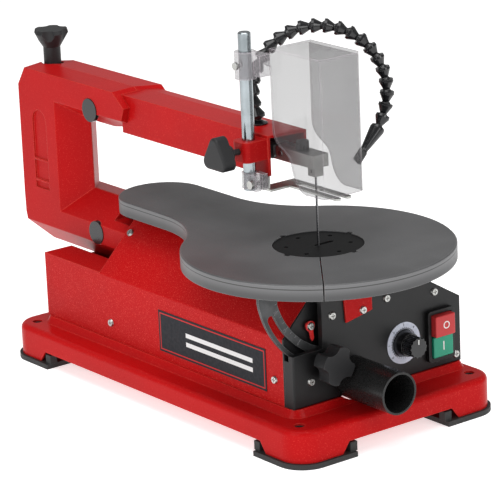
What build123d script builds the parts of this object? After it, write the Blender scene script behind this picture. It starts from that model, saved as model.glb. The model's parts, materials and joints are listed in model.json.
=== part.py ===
from build123d import *
from math import atan2, cos, radians, sin, sqrt, tan
import os

os.makedirs("parts", exist_ok=True)

# Scroll saw. Millimetres, +Z up, origin on the ground under the middle of the base.
# -Y is the operator's side with the blade and the control panel, +Y the rear column,
# +X the operator's right.

# ---- driving dimensions -------------------------------------------------------------
BLADE_X = -27.5  # blade, measured from the middle of the base
BLADE_Y = -154.0
TABLE_TOP = 179.0  # height of the table above the ground

BASE_WIDTH = 240.0
BASE_LENGTH = 465.0
BASE_TOP = 36.0
BASE_SHEET = 2.0
BASE_CORNER = 25.0
BASE_EDGE = 5.5
STEP_MARGIN = 1.5  # level strip between the housing and the step's slope
STEP_RISE = 7.0
STEP_TAPER = 30.0
FLANGE_BOTTOM = 16.0  # lower edge of the pan between its corners
CORNER_REACH = 50.0
FOOT_PAD = 5.0
FOOT_PROUD = 3.0
BOLT_SPACING_X = 205.0
BOLT_SPACING_Y = 423.0
BOLT_HOLE_R = 5.0

HOUSING_LEFT = 66.0  # from the blade to the left wall
HOUSING_RIGHT = 136.0
HOUSING_FRONT = 25.0
HOUSING_REAR = 358.0
PLATEAU_DROP = 25.0  # top of the housing below the table top
PLATEAU_REAR = 263.0
SLOPE_DROP = 5.5  # the 45 degree slope passes this far below the table top at the blade
PLATEAU_RIGHT = 59.0
RIGHT_WALL_DROP = 72.0
LEDGE_DROP = 70.5
HOUSING_SHEET = 2.0
FRONT_PLATE = 2.0
COVER_DEPTH = 13.0
COVER_WALL = 2.5

TABLE_R = 127.5
LOBE_HALF = 43.5
LOBE_REACH = 285.0
NECK_R = 105.0
RIM_DEPTH = 15.0
RIM_WALL = 6.0
TABLE_PLATE = 5.0
INSERT_R = 42.5
INSERT_LEDGE = 3.5
INSERT_T = 2.5
TILT_DROP = 12.5  # tilt axis below the table top
TILT_MAX = 45.0

SCALE_OUTER = 97.5
SCALE_INNER = 78.0
SCALE_SLOT_R = 89.5
SCALE_SLOT_HALF = 4.0
SCALE_T = 3.0
SCALE_Y = 30.0
LIP_CLEAR = 2.5  # between the cover's window lip and the scale
LOCK_ANGLE = 20.0  # lock bolt, measured from straight down towards the left

CASE_LEFT = 33.0
CASE_RIGHT = 27.0
CASE_WALL = 3.0
ARM_PIVOT_Y = 312.0
UPPER_PIVOT_Z = 78.0  # above the table top
LOWER_PIVOT_Z = -47.5
ARM_TIP_Y = 40.0
REAR_LINK_Y = 422.0
ARM_HALF = 8.0
SLEEVE_LEFT = 25.0
SLEEVE_RIGHT = 20.0
SLEEVE_FRONT = 37.0
SLEEVE_TOP = 100.0
SLEEVE_BOTTOM = 62.0
SLEEVE_WALL = 2.5

PIN_R = 5.0
SMALL_PIN_R = 3.0
RUNNING = 0.05  # radial clearance of a pin in a moving part
GAP = 0.3  # clearance between neighbours on different bodies

MOTOR_Y = 213.0
MOTOR_DROP = 104.0
MOTOR_R = 30.0
ECCENTRIC_THROW = 3.2

POST_X = -38.0
POST_Y = 49.0
POST_R = 6.0
POST_TOP = 198.0
POST_BOTTOM = 50.0

GUARD_HALF = 24.0
GUARD_WALL = 2.0
GUARD_FRONT = -41.0
GUARD_REAR = 31.0
GUARD_TOP = 183.0
GUARD_BOTTOM = 54.0
GUARD_PIN_Y = 36.0
GUARD_PIN_Z = 172.0

PORT_X = 3.0
PORT_DROP = 120.0
PORT_R = 20.0
PORT_BORE = 18.0
PORT_LENGTH = 66.0

# ---- places worked out from them ----------------------------------------------------
LEFT = BLADE_X - HOUSING_LEFT
RIGHT = BLADE_X + HOUSING_RIGHT
FRONT = BLADE_Y - HOUSING_FRONT
COVER_FRONT = FRONT - FRONT_PLATE - COVER_DEPTH
REAR = BLADE_Y + HOUSING_REAR
PLATEAU_END = BLADE_Y + PLATEAU_REAR
LEDGE_Z = TABLE_TOP - LEDGE_DROP
STEP_TOP = BASE_TOP + STEP_RISE


def spot(x, y, z):
    """A place given from the blade and the table top."""
    return (BLADE_X + x, BLADE_Y + y, TABLE_TOP + z)


def front_plane(y):
    """A plane facing the operator, with +X to the right and +Z up, at y from the blade."""
    return Plane(origin=(BLADE_X, BLADE_Y + y, TABLE_TOP), x_dir=(1, 0, 0), z_dir=(0, -1, 0))


def side_plane(x):
    """A plane facing +X, with +Y to the right and +Z up, at x from the blade."""
    return Plane(origin=(BLADE_X + x, BLADE_Y, TABLE_TOP), x_dir=(0, 1, 0), z_dir=(1, 0, 0))


def table_plane(z):
    """A level plane at z from the table top, centred on the blade."""
    return Plane(origin=(BLADE_X, BLADE_Y, TABLE_TOP + z), x_dir=(1, 0, 0), z_dir=(0, 0, 1))


def housing_outline(inset=0.0):
    """Front view of the housing: walls, 45 degree slope, plateau and right slope."""
    floor = STEP_TOP - TABLE_TOP
    run = HOUSING_RIGHT - PLATEAU_RIGHT
    fall = RIGHT_WALL_DROP - PLATEAU_DROP
    lean = sqrt(run**2 + fall**2)
    left = -HOUSING_LEFT + inset
    right = HOUSING_RIGHT - inset
    top = -PLATEAU_DROP - inset
    slope = SLOPE_DROP + inset * sqrt(2)
    right_top = -RIGHT_WALL_DROP - (lean - fall) / run * inset
    plateau_right = PLATEAU_RIGHT - (lean - run) / fall * inset
    return [
        (left, floor),
        (left, left - slope),
        (top + slope, top),
        (plateau_right, top),
        (right, right_top),
        (right, floor),
    ]


# ---- base ---------------------------------------------------------------------------
step_skirt = STEP_MARGIN + STEP_RISE * tan(radians(STEP_TAPER))
step_width = RIGHT - LEFT + 2 * step_skirt
step_length = REAR - COVER_FRONT + 2 * step_skirt
step_middle = ((LEFT + RIGHT) / 2, (REAR + COVER_FRONT) / 2)
step_corner = 14.0

with BuildPart() as pan_hollow:
    with BuildSketch(Plane.XY.offset(FOOT_PAD)):
        RectangleRounded(
            BASE_WIDTH - 2 * BASE_SHEET,
            BASE_LENGTH - 2 * BASE_SHEET,
            BASE_CORNER - BASE_SHEET,
        )
    extrude(amount=BASE_TOP - BASE_SHEET - FOOT_PAD)
    fillet(pan_hollow.faces().sort_by(Axis.Z)[-1].edges(), BASE_EDGE - BASE_SHEET)
    with BuildSketch(Plane.XY.offset(BASE_TOP - BASE_SHEET)):
        with Locations(step_middle):
            RectangleRounded(
                step_width - 2 * BASE_SHEET,
                step_length - 2 * BASE_SHEET,
                step_corner - BASE_SHEET,
            )
    extrude(amount=STEP_RISE, taper=STEP_TAPER)

with BuildPart() as base_pan:
    with BuildSketch(Plane.XY.offset(FOOT_PAD)):
        RectangleRounded(BASE_WIDTH, BASE_LENGTH, BASE_CORNER)
    extrude(amount=BASE_TOP - FOOT_PAD)
    fillet(base_pan.faces().sort_by(Axis.Z)[-1].edges(), BASE_EDGE)
    with BuildSketch(Plane.XY.offset(BASE_TOP)):
        with Locations(step_middle):
            RectangleRounded(step_width, step_length, step_corner)
    extrude(amount=STEP_RISE, taper=STEP_TAPER)
    add(pan_hollow.part, mode=Mode.SUBTRACT)
    # the step gives way to the dust port
    with BuildSketch(
        Plane(origin=(0, COVER_FRONT + COVER_WALL + 3, 0), x_dir=(1, 0, 0), z_dir=(0, -1, 0))
    ):
        with Locations((BLADE_X + PORT_X, TABLE_TOP - PORT_DROP)):
            Circle(PORT_R + 1)
    extrude(amount=step_skirt + COVER_WALL + 6, mode=Mode.SUBTRACT)
    notch_rise = FLANGE_BOTTOM - FOOT_PAD
    for plane, half in ((Plane.XZ, BASE_WIDTH / 2), (Plane.YZ, BASE_LENGTH / 2)):
        with BuildSketch(plane):
            with BuildLine():
                Polyline(
                    (-half + CORNER_REACH, FOOT_PAD - 1),
                    (-half + CORNER_REACH, FOOT_PAD),
                    (-half + CORNER_REACH + 8, FOOT_PAD + notch_rise),
                    (half - CORNER_REACH - 8, FOOT_PAD + notch_rise),
                    (half - CORNER_REACH, FOOT_PAD),
                    (half - CORNER_REACH, FOOT_PAD - 1),
                    close=True,
                )
            make_face()
        extrude(amount=BASE_LENGTH, both=True, mode=Mode.SUBTRACT)
    with Locations((0, 0, BASE_TOP)):
        with GridLocations(BOLT_SPACING_X, BOLT_SPACING_Y, 2, 2):
            Cylinder(BOLT_HOLE_R, 4 * BASE_SHEET, mode=Mode.SUBTRACT)
base_pan.part.label = "base_pan"
export_step(base_pan.part, "parts/base_pan.step")

pad_size = CORNER_REACH + 18.0
with BuildPart() as rubber_feet:
    for sx in (-1, 1):
        for sy in (-1, 1):
            pad_x = sx * (BASE_WIDTH / 2 + FOOT_PROUD - pad_size / 2)
            pad_y = sy * (BASE_LENGTH / 2 + FOOT_PROUD - pad_size / 2)
            with BuildSketch() as pad:
                with Locations((pad_x, pad_y)):
                    Rectangle(pad_size, pad_size)
                outer = pad.vertices().sort_by_distance((0, 0))[-1]
                fillet(outer, BASE_CORNER + FOOT_PROUD)
            extrude(amount=FOOT_PAD)
            tab = CORNER_REACH + 9.0
            tab_x = sx * (BASE_WIDTH / 2 - tab - 4.0)
            tab_y = sy * (BASE_LENGTH / 2 - tab - 4.0)
            with BuildSketch(Plane.XY.offset(FOOT_PAD)):
                with Locations((tab_x, sy * (BASE_LENGTH / 2 - 4.0))):
                    Rectangle(8, 8)
                with Locations((sx * (BASE_WIDTH / 2 - 4.0), tab_y)):
                    Rectangle(8, 8)
            extrude(amount=FLANGE_BOTTOM - FOOT_PAD - 2.0)
            bolt = (sx * BOLT_SPACING_X / 2, sy * BOLT_SPACING_Y / 2)
            with BuildSketch(Plane.XY.offset(FOOT_PAD)):
                with Locations(bolt):
                    Circle(BOLT_HOLE_R + 3)
            extrude(amount=BASE_TOP - BASE_SHEET - FOOT_PAD)
            with BuildSketch():
                with Locations(bolt):
                    Circle(BOLT_HOLE_R)
            extrude(amount=BASE_TOP, mode=Mode.SUBTRACT)
rubber_feet.part.label = "rubber_feet"
export_step(rubber_feet.part, "parts/rubber_feet.step")

# ---- housing ------------------------------------------------------------------------
trough_floor = LOWER_PIVOT_Z - 35.5  # underside of the casing, which sits in the ledge
case_gap = 0.2

with BuildPart() as motor_housing:
    with BuildSketch(front_plane(-HOUSING_FRONT)):
        with BuildLine():
            Polyline(*housing_outline(), close=True)
        make_face()
    extrude(amount=-(PLATEAU_REAR + HOUSING_FRONT))
    fillet(motor_housing.edges().filter_by(Axis.Y).group_by(Axis.Z)[1:], 3.0)
    with BuildSketch(Plane.XY.offset(STEP_TOP)):
        with Locations(((LEFT + RIGHT) / 2, (PLATEAU_END + REAR) / 2)):
            Rectangle(RIGHT - LEFT, REAR - PLATEAU_END)
    extrude(amount=LEDGE_Z - STEP_TOP)
    with BuildSketch(front_plane(-HOUSING_FRONT)):
        with BuildLine():
            Polyline(*housing_outline(HOUSING_SHEET), close=True)
        make_face()
    extrude(amount=-(PLATEAU_REAR + HOUSING_FRONT - HOUSING_SHEET), mode=Mode.SUBTRACT)
    with BuildSketch(Plane.XY.offset(STEP_TOP)):
        with Locations(((LEFT + RIGHT) / 2, (PLATEAU_END - 10 + REAR - HOUSING_SHEET) / 2)):
            Rectangle(RIGHT - LEFT - 2 * HOUSING_SHEET, REAR - HOUSING_SHEET - PLATEAU_END + 10)
    extrude(amount=LEDGE_Z - HOUSING_SHEET - STEP_TOP, mode=Mode.SUBTRACT)
    # opening in the ledge for the casing, and in the rear wall above it for the lower arm
    case_middle = (CASE_RIGHT - CASE_LEFT) / 2
    with BuildSketch(table_plane(trough_floor)):
        with Locations((case_middle, (PLATEAU_REAR + HOUSING_REAR) / 2 + 0.5)):
            Rectangle(CASE_LEFT + CASE_RIGHT + 2 * case_gap, HOUSING_REAR - PLATEAU_REAR + 1)
    extrude(amount=60, mode=Mode.SUBTRACT)
    with BuildSketch(front_plane(PLATEAU_REAR)):
        with Locations((0, LOWER_PIVOT_Z)):
            Rectangle(2 * ARM_HALF + 12, 40)
    extrude(amount=2 * HOUSING_SHEET, mode=Mode.SUBTRACT)
    # way through the plateau for the blade
    with BuildSketch(table_plane(-PLATEAU_DROP)):
        Circle(14)
    extrude(amount=-2 * HOUSING_SHEET, mode=Mode.SUBTRACT)
    # hole for the cord gland in the rear wall
    with BuildSketch(front_plane(HOUSING_REAR)):
        with Locations((100, -110)):
            Circle(9)
    extrude(amount=2 * HOUSING_SHEET, mode=Mode.SUBTRACT)
motor_housing.part.label = "motor_housing"
export_step(motor_housing.part, "parts/motor_housing.step")

with BuildPart() as front_plate:
    with BuildSketch(front_plane(-HOUSING_FRONT)):
        with BuildLine():
            Polyline(*housing_outline(), close=True)
        make_face()
        with Locations(
            (-SCALE_SLOT_R * sin(radians(LOCK_ANGLE)), -TILT_DROP - SCALE_SLOT_R * cos(radians(LOCK_ANGLE)))
        ):
            Circle(SMALL_PIN_R + GAP, mode=Mode.SUBTRACT)
        with Locations((PORT_X, -PORT_DROP)):
            Circle(9, mode=Mode.SUBTRACT)
    extrude(amount=FRONT_PLATE)
front_plate.part.label = "front_plate"
export_step(front_plate.part, "parts/front_plate.step")

with BuildPart() as cord_gland:
    with BuildSketch(front_plane(HOUSING_REAR)):
        with Locations((100, -110)):
            Circle(13)
    extrude(amount=-5)
    with BuildSketch(front_plane(HOUSING_REAR)):
        with Locations((100, -110)):
            Circle(8.8)
    extrude(amount=6)
    with BuildSketch(front_plane(HOUSING_REAR + 6)):
        with Locations((100, -110)):
            Circle(3.8)
    extrude(amount=20, mode=Mode.SUBTRACT)
cord_gland.part.label = "cord_gland"
export_step(cord_gland.part, "parts/cord_gland.step")


# ---- front cover and panel ----------------------------------------------------------
WINDOW_RIGHT = -31.0
WINDOW_SILL = -85.0
COVER_SCREWS = ((104, -61), (129, -128), (46, -54), (-46, -113), (-19, -56))
DIAL = (65.0, -102.0)
SWITCH = (108.0, -103.0)
SWITCH_WIDTH = 32.0
SWITCH_HEIGHT = 50.0
BUTTON_WIDTH = 24.0
BUTTON_HEIGHT = 20.5
DIAL_SHAFT_R = 3.0
lock_x = -SCALE_SLOT_R * sin(radians(LOCK_ANGLE))
lock_z = -TILT_DROP - SCALE_SLOT_R * cos(radians(LOCK_ANGLE))
face_y = -HOUSING_FRONT - FRONT_PLATE - COVER_DEPTH
screw_r = 2.0
head_r = 4.0
head_rise = 1.8

with BuildPart() as front_cover:
    with BuildSketch(front_plane(-HOUSING_FRONT - FRONT_PLATE)):
        with BuildLine():
            Polyline(*housing_outline(), close=True)
        make_face()
    extrude(amount=COVER_DEPTH)
    fillet(front_cover.faces().sort_by(Axis.Y)[0].edges(), 1.5)
    with BuildSketch(front_plane(-HOUSING_FRONT - FRONT_PLATE)):
        with BuildLine():
            Polyline(*housing_outline(COVER_WALL), close=True)
        make_face()
        with Locations(((HOUSING_RIGHT - HOUSING_LEFT) / 2, STEP_TOP - TABLE_TOP + 4)):
            Rectangle(HOUSING_RIGHT + HOUSING_LEFT - 2 * COVER_WALL, 8 - COVER_WALL)
    extrude(amount=COVER_DEPTH - COVER_WALL, mode=Mode.SUBTRACT)
    # window for the bevel scale, with a short lip that stops in front of the scale
    with BuildSketch(front_plane(-HOUSING_FRONT - FRONT_PLATE)):
        with Locations((WINDOW_RIGHT, WINDOW_SILL)):
            Rectangle(80, 90, align=(Align.MAX, Align.MIN))
    extrude(amount=COVER_DEPTH + 1, mode=Mode.SUBTRACT)
    # the side wall stops short of the scale
    with BuildSketch(front_plane(-HOUSING_FRONT - FRONT_PLATE)):
        with Locations((-HOUSING_LEFT - 1, WINDOW_SILL + 1)):
            Rectangle(COVER_WALL + 6, 7, align=(Align.MIN, Align.MAX))
    extrude(amount=6.5, mode=Mode.SUBTRACT)
    with BuildSketch(front_plane(face_y + COVER_WALL)):
        with Locations((WINDOW_RIGHT, WINDOW_SILL - COVER_WALL)):
            Rectangle(COVER_WALL, 50, align=(Align.MIN, Align.MIN))
        with Locations((WINDOW_RIGHT + COVER_WALL, WINDOW_SILL)):
            Rectangle(HOUSING_LEFT + WINDOW_RIGHT + COVER_WALL, COVER_WALL, align=(Align.MAX, Align.MAX))
    extrude(
        amount=SCALE_Y + SCALE_T / 2 + LIP_CLEAR - HOUSING_FRONT - FRONT_PLATE - COVER_DEPTH + COVER_WALL
    )
    with BuildSketch(front_plane(face_y)):
        with Locations((lock_x, lock_z)):
            Circle(9)
        with Locations((PORT_X, -PORT_DROP)):
            Circle(PORT_R + 0.1)
        with Locations(DIAL):
            Circle(5)
        with Locations(SWITCH):
            Rectangle(BUTTON_WIDTH + 4, 2 * BUTTON_HEIGHT + 5)
        with Locations(*COVER_SCREWS):
            Circle(screw_r)
    extrude(amount=-COVER_WALL * 1.5, mode=Mode.SUBTRACT)
front_cover.part.label = "front_cover"
export_step(front_cover.part, "parts/front_cover.step")

with BuildPart() as cover_screws:
    for x, z in COVER_SCREWS:
        with BuildSketch(front_plane(face_y)):
            with Locations((x, z)):
                Circle(head_r)
        extrude(amount=head_rise, taper=25)
        with BuildSketch(front_plane(face_y)):
            with Locations((x, z)):
                Circle(screw_r)
        extrude(amount=-COVER_WALL - 3)
        with BuildSketch(front_plane(face_y - head_rise)):
            with Locations((x, z)):
                Rectangle(4.4, 0.9)
                Rectangle(0.9, 4.4)
        extrude(amount=-1.0, mode=Mode.SUBTRACT)
cover_screws.part.label = "cover_screws"
export_step(cover_screws.part, "parts/cover_screws.step")

HOUSING_SCREWS = ((-12, -113), (247, -119))
with BuildPart() as housing_screws:
    for x, out in ((-HOUSING_LEFT, -1), (HOUSING_RIGHT, 1)):
        for y, z in HOUSING_SCREWS:
            with BuildSketch(side_plane(x)):
                with Locations((y, z)):
                    Circle(head_r)
            extrude(amount=out * head_rise, taper=25)
            with BuildSketch(side_plane(x + out * head_rise)):
                with Locations((y, z)):
                    Rectangle(4.4, 0.9)
                    Rectangle(0.9, 4.4)
            extrude(amount=-out * 1.0, mode=Mode.SUBTRACT)
    slope_x = -31.0
    slope = Plane(
        origin=spot(slope_x, 256, slope_x - SLOPE_DROP), x_dir=(0, 1, 0), z_dir=(-1, 0, 1)
    )
    with BuildSketch(slope):
        Circle(head_r)
    extrude(amount=head_rise, taper=25)
    with BuildSketch(slope.offset(head_rise)):
        Rectangle(4.4, 0.9)
        Rectangle(0.9, 4.4)
    extrude(amount=-1.0, mode=Mode.SUBTRACT)
housing_screws.part.label = "housing_screws"
export_step(housing_screws.part, "parts/housing_screws.step")

LABEL_LENGTH = 166.0
LABEL_HEIGHT = 41.0
with BuildPart() as side_label:
    with BuildSketch(side_plane(-HOUSING_LEFT)):
        with Locations((LABEL_LENGTH / 2, -107)):
            Rectangle(LABEL_LENGTH, LABEL_HEIGHT)
    extrude(amount=-0.5)
side_label.part.label = "side_label"
export_step(side_label.part, "parts/side_label.step")

port_inner = face_y + COVER_WALL
with BuildPart() as dust_port:
    with BuildSketch(front_plane(port_inner)):
        with Locations((PORT_X, -PORT_DROP)):
            Circle(PORT_R)
    extrude(amount=PORT_LENGTH + COVER_WALL)
    with BuildSketch(front_plane(port_inner)):
        with Locations((PORT_X, -PORT_DROP)):
            Circle(PORT_R + 1.5)
        with Locations((PORT_X, STEP_TOP - TABLE_TOP)):
            Rectangle(2 * PORT_R + 10, 8, align=(Align.CENTER, Align.MAX), mode=Mode.SUBTRACT)
    extrude(amount=-2.0)
    with BuildSketch(front_plane(port_inner + 2)):
        with Locations((PORT_X, -PORT_DROP)):
            Circle(PORT_BORE)
    extrude(amount=PORT_LENGTH + 20, mode=Mode.SUBTRACT)
dust_port.part.label = "dust_port"
export_step(dust_port.part, "parts/dust_port.step")

with BuildPart() as switch_frame:
    with BuildSketch(front_plane(face_y)):
        with Locations(SWITCH):
            RectangleRounded(SWITCH_WIDTH, SWITCH_HEIGHT, 3)
            Rectangle(BUTTON_WIDTH + 1.2, 2 * BUTTON_HEIGHT + 2.2, mode=Mode.SUBTRACT)
    extrude(amount=5)
    with BuildSketch(front_plane(face_y)):
        with Locations(SWITCH):
            Rectangle(BUTTON_WIDTH + 3.6, 2 * BUTTON_HEIGHT + 4.6)
            Rectangle(BUTTON_WIDTH + 1.2, 2 * BUTTON_HEIGHT + 2.2, mode=Mode.SUBTRACT)
    extrude(amount=-8)
    with BuildSketch(front_plane(face_y + 8)):
        with Locations(SWITCH):
            Rectangle(BUTTON_WIDTH + 3.6, 2 * BUTTON_HEIGHT + 4.6)
    extrude(amount=-2)
switch_frame.part.label = "switch_frame"
export_step(switch_frame.part, "parts/switch_frame.step")

with BuildPart() as stop_button:
    with BuildSketch(front_plane(face_y + 4.0)):
        with Locations((SWITCH[0], SWITCH[1] + BUTTON_HEIGHT / 2 + 0.25)):
            RectangleRounded(BUTTON_WIDTH, BUTTON_HEIGHT, 1.2)
    extrude(amount=15.0)
    fillet(stop_button.faces().sort_by(Axis.Y)[0].edges(), 1.0)
stop_button.part.label = "stop_button"
export_step(stop_button.part, "parts/stop_button.step")

with BuildPart() as start_button:
    with BuildSketch(front_plane(face_y + 4.0)):
        with Locations((SWITCH[0], SWITCH[1] - BUTTON_HEIGHT / 2 - 0.25)):
            RectangleRounded(BUTTON_WIDTH, BUTTON_HEIGHT, 1.2)
    extrude(amount=11.5)
    fillet(start_button.faces().sort_by(Axis.Y)[0].edges(), 1.0)
start_button.part.label = "start_button"
export_step(start_button.part, "parts/start_button.step")

with BuildPart() as dial_ring:
    with BuildSketch(front_plane(face_y)):
        with Locations(DIAL):
            Circle(20)
            Circle(13.5, mode=Mode.SUBTRACT)
    extrude(amount=0.6)
dial_ring.part.label = "dial_ring"
export_step(dial_ring.part, "parts/dial_ring.step")

with BuildPart() as speed_dial:
    with BuildSketch(front_plane(face_y - 1.0)):
        with Locations(DIAL):
            Circle(13)
    extrude(amount=9, taper=12)
    with BuildSketch(front_plane(face_y - 9.9)):
        with Locations(DIAL):
            Circle(9)
            with PolarLocations(9, 14):
                Circle(0.9)
    extrude(amount=12)
    with BuildSketch(front_plane(face_y)):
        with Locations(DIAL):
            Circle(DIAL_SHAFT_R)
    extrude(amount=-8.5)
    with BuildSketch(front_plane(face_y)):
        with Locations(DIAL):
            Circle(DIAL_SHAFT_R)
    extrude(amount=1.0)
speed_dial.part.label = "speed_dial"
export_step(speed_dial.part, "parts/speed_dial.step")

with BuildPart() as speed_control:
    with BuildSketch(front_plane(face_y + COVER_WALL)):
        with Locations(DIAL):
            Circle(8)
    extrude(amount=-(COVER_DEPTH - COVER_WALL))
    with BuildSketch(front_plane(face_y + COVER_WALL)):
        with Locations(DIAL):
            Circle(DIAL_SHAFT_R + RUNNING)
    extrude(amount=-7.5, mode=Mode.SUBTRACT)
speed_control.part.label = "speed_control"
export_step(speed_control.part, "parts/speed_control.step")

with BuildPart() as control_board:
    with BuildSketch(front_plane(-HOUSING_FRONT + 6)):
        with Locations((95, -100)):
            Rectangle(70, 46)
    extrude(amount=-1.6)
    with Locations(spot(80, -HOUSING_FRONT + 13.6, -95), spot(110, -HOUSING_FRONT + 13.6, -108)):
        Box(14, 12, 16)
control_board.part.label = "control_board"
export_step(control_board.part, "parts/control_board.step")

# ---- table --------------------------------------------------------------------------
neck_x = LOBE_HALF + NECK_R
neck_y = sqrt((TABLE_R + NECK_R) ** 2 - neck_x**2)
neck_turn = atan2(neck_y, neck_x)
tip_y = LOBE_REACH - LOBE_HALF


def table_edge(inset=0.0):
    """Draws the table edge from above: round front, concave necks, round-ended rear lobe."""
    r = TABLE_R - inset
    neck = NECK_R + inset
    half = LOBE_HALF - inset
    touch_x = neck_x - neck * cos(neck_turn)
    touch_y = neck_y - neck * sin(neck_turn)
    mid_x = neck_x - neck * cos(neck_turn / 2)
    mid_y = neck_y - neck * sin(neck_turn / 2)
    ThreePointArc((-touch_x, touch_y), (0, -r), (touch_x, touch_y))
    ThreePointArc((touch_x, touch_y), (mid_x, mid_y), (half, neck_y))
    Line((half, neck_y), (half, tip_y))
    ThreePointArc((half, tip_y), (0, tip_y + half), (-half, tip_y))
    Line((-half, tip_y), (-half, neck_y))
    ThreePointArc((-half, neck_y), (-mid_x, mid_y), (-touch_x, touch_y))


FRONT_LUG_Y = -56.0
REAR_LUG_Y = 224.0
LUG_T = 7.0
LUG_R = 6.5
KERF_TURN = 233.0
KERF_WIDTH = 1.2

with BuildPart() as table:
    with BuildSketch(table_plane(0)):
        with BuildLine():
            table_edge()
        make_face()
    extrude(amount=-RIM_DEPTH)
    chamfer(table.faces().sort_by(Axis.Z)[-1].edges(), 1.2)
    with BuildSketch(table_plane(-RIM_DEPTH)):
        with BuildLine():
            table_edge(RIM_WALL)
        make_face()
    extrude(amount=RIM_DEPTH - TABLE_PLATE, mode=Mode.SUBTRACT)
    # stiffening ribs
    with BuildSketch(table_plane(-TABLE_PLATE)):
        for x in (-26, 26):
            with Locations((x, 110)):
                Rectangle(4, 250)
        for y in (-75, 90, 200):
            with Locations((0, y)):
                Rectangle(2 * LOBE_HALF - 2 * RIM_WALL + 4, 4)
        Circle(INSERT_R + 7, mode=Mode.SUBTRACT)
    extrude(amount=-4)
    with BuildSketch(table_plane(0)):
        Circle(INSERT_R + 0.15)
        with PolarLocations(INSERT_R, 4, start_angle=10):
            RectangleRounded(7, 7, 1.5)
    extrude(amount=-INSERT_T - 1.0, mode=Mode.SUBTRACT)
    with BuildSketch(table_plane(0)):
        Circle(INSERT_R - INSERT_LEDGE)
    extrude(amount=-RIM_DEPTH, mode=Mode.SUBTRACT)
    with BuildSketch(table_plane(0)):
        with Locations(Rotation(0, 0, KERF_TURN)):
            with Locations(((INSERT_R + TABLE_R) / 2, 0)):
                Rectangle(TABLE_R - INSERT_R + 12, KERF_WIDTH)
    extrude(amount=-RIM_DEPTH - 1, mode=Mode.SUBTRACT)
    # lugs that carry the table on its tilt pins
    for lug_y in (FRONT_LUG_Y, REAR_LUG_Y):
        with BuildSketch(front_plane(lug_y)):
            with Locations((0, -TILT_DROP)):
                Circle(LUG_R)
                Rectangle(2 * LUG_R, TILT_DROP - TABLE_PLATE + 0.5, align=(Align.CENTER, Align.MIN))
        extrude(amount=-LUG_T)
        with BuildSketch(front_plane(lug_y)):
            with Locations((0, -TILT_DROP)):
                Circle(SMALL_PIN_R + RUNNING)
        extrude(amount=-LUG_T, mode=Mode.SUBTRACT)
table.part.label = "table"
export_step(table.part, "parts/table.step")

with BuildPart() as table_insert:
    with BuildSketch(table_plane(-1.0)):
        Circle(INSERT_R)
        with PolarLocations(INSERT_R, 4, start_angle=10):
            RectangleRounded(6.4, 6.4, 1.4)
        with Locations((6.5, 0)):
            SlotOverall(22, 4.5, mode=Mode.SUBTRACT)
        with PolarLocations(30, 6, start_angle=30):
            Circle(2.2, mode=Mode.SUBTRACT)
    extrude(amount=-INSERT_T)
table_insert.part.label = "table_insert"
export_step(table_insert.part, "parts/table_insert.step")


def from_axis(radius, angle):
    """Point of the front view at a radius from the tilt axis, angle from straight down to the left."""
    return (-radius * sin(radians(angle)), -TILT_DROP - radius * cos(radians(angle)))


scale_low = LOCK_ANGLE - 6.0
scale_high = 80.0
scale_mid = (scale_low + scale_high) / 2
slot_high = LOCK_ANGLE + TILT_MAX + 2.0
slot_low = LOCK_ANGLE - 2.0
slot_mid = (slot_low + slot_high) / 2
slot_in = SCALE_SLOT_R - SCALE_SLOT_HALF
slot_out = SCALE_SLOT_R + SCALE_SLOT_HALF
with BuildPart() as bevel_scale:
    with BuildSketch(front_plane(-SCALE_Y + SCALE_T / 2)):
        with BuildLine():
            ThreePointArc(
                from_axis(
                    SCALE_OUTER,
                    scale_low,
                ), from_axis(SCALE_OUTER, scale_mid), from_axis(SCALE_OUTER, scale_high)
            )
            Line(from_axis(SCALE_OUTER, scale_high), (-95, -TABLE_PLATE))
            Line((-95, -TABLE_PLATE), (-66, -TABLE_PLATE))
            Line((-66, -TABLE_PLATE), from_axis(SCALE_INNER, 74))
            ThreePointArc(
                from_axis(SCALE_INNER, 74),
                from_axis(SCALE_INNER, scale_mid),
                from_axis(SCALE_INNER, scale_low),
            )
            Line(from_axis(SCALE_INNER, scale_low), from_axis(SCALE_OUTER, scale_low))
        make_face()
        with BuildLine():
            ThreePointArc(
                from_axis(slot_out, slot_low),
                from_axis(slot_out, slot_mid),
                from_axis(slot_out, slot_high),
            )
            ThreePointArc(
                from_axis(
                    slot_out,
                    slot_high,
                ), from_axis(SCALE_SLOT_R, slot_high + 2.5), from_axis(slot_in, slot_high)
            )
            ThreePointArc(
                from_axis(slot_in, slot_high),
                from_axis(slot_in, slot_mid),
                from_axis(slot_in, slot_low),
            )
            ThreePointArc(
                from_axis(
                    slot_in,
                    slot_low,
                ), from_axis(SCALE_SLOT_R, slot_low - 2.5), from_axis(slot_out, slot_low)
            )
        make_face(mode=Mode.SUBTRACT)
    extrude(amount=SCALE_T)
    with BuildSketch(table_plane(-TABLE_PLATE)):
        with Locations((-80.5, -SCALE_Y)):
            Rectangle(29, 16)
    extrude(amount=-2.5)
bevel_scale.part.label = "bevel_scale"
export_step(bevel_scale.part, "parts/bevel_scale.step")

with BuildPart() as front_hinge:
    with BuildSketch(front_plane(face_y)):
        with BuildLine():
            Polyline(
                (-4, -66),
                (27, -60),
                (27, -38),
                (6, -20),
                (6, -12.5),
                (-6, -12.5),
                (-6, -38),
                close=True,
            )
        make_face()
        with Locations((0, -TILT_DROP)):
            Circle(6)
            Circle(SMALL_PIN_R, mode=Mode.SUBTRACT)
        with Locations((16, -58)):
            Circle(screw_r, mode=Mode.SUBTRACT)
    extrude(amount=2)
front_hinge.part.label = "front_hinge"
export_step(front_hinge.part, "parts/front_hinge.step")

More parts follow.
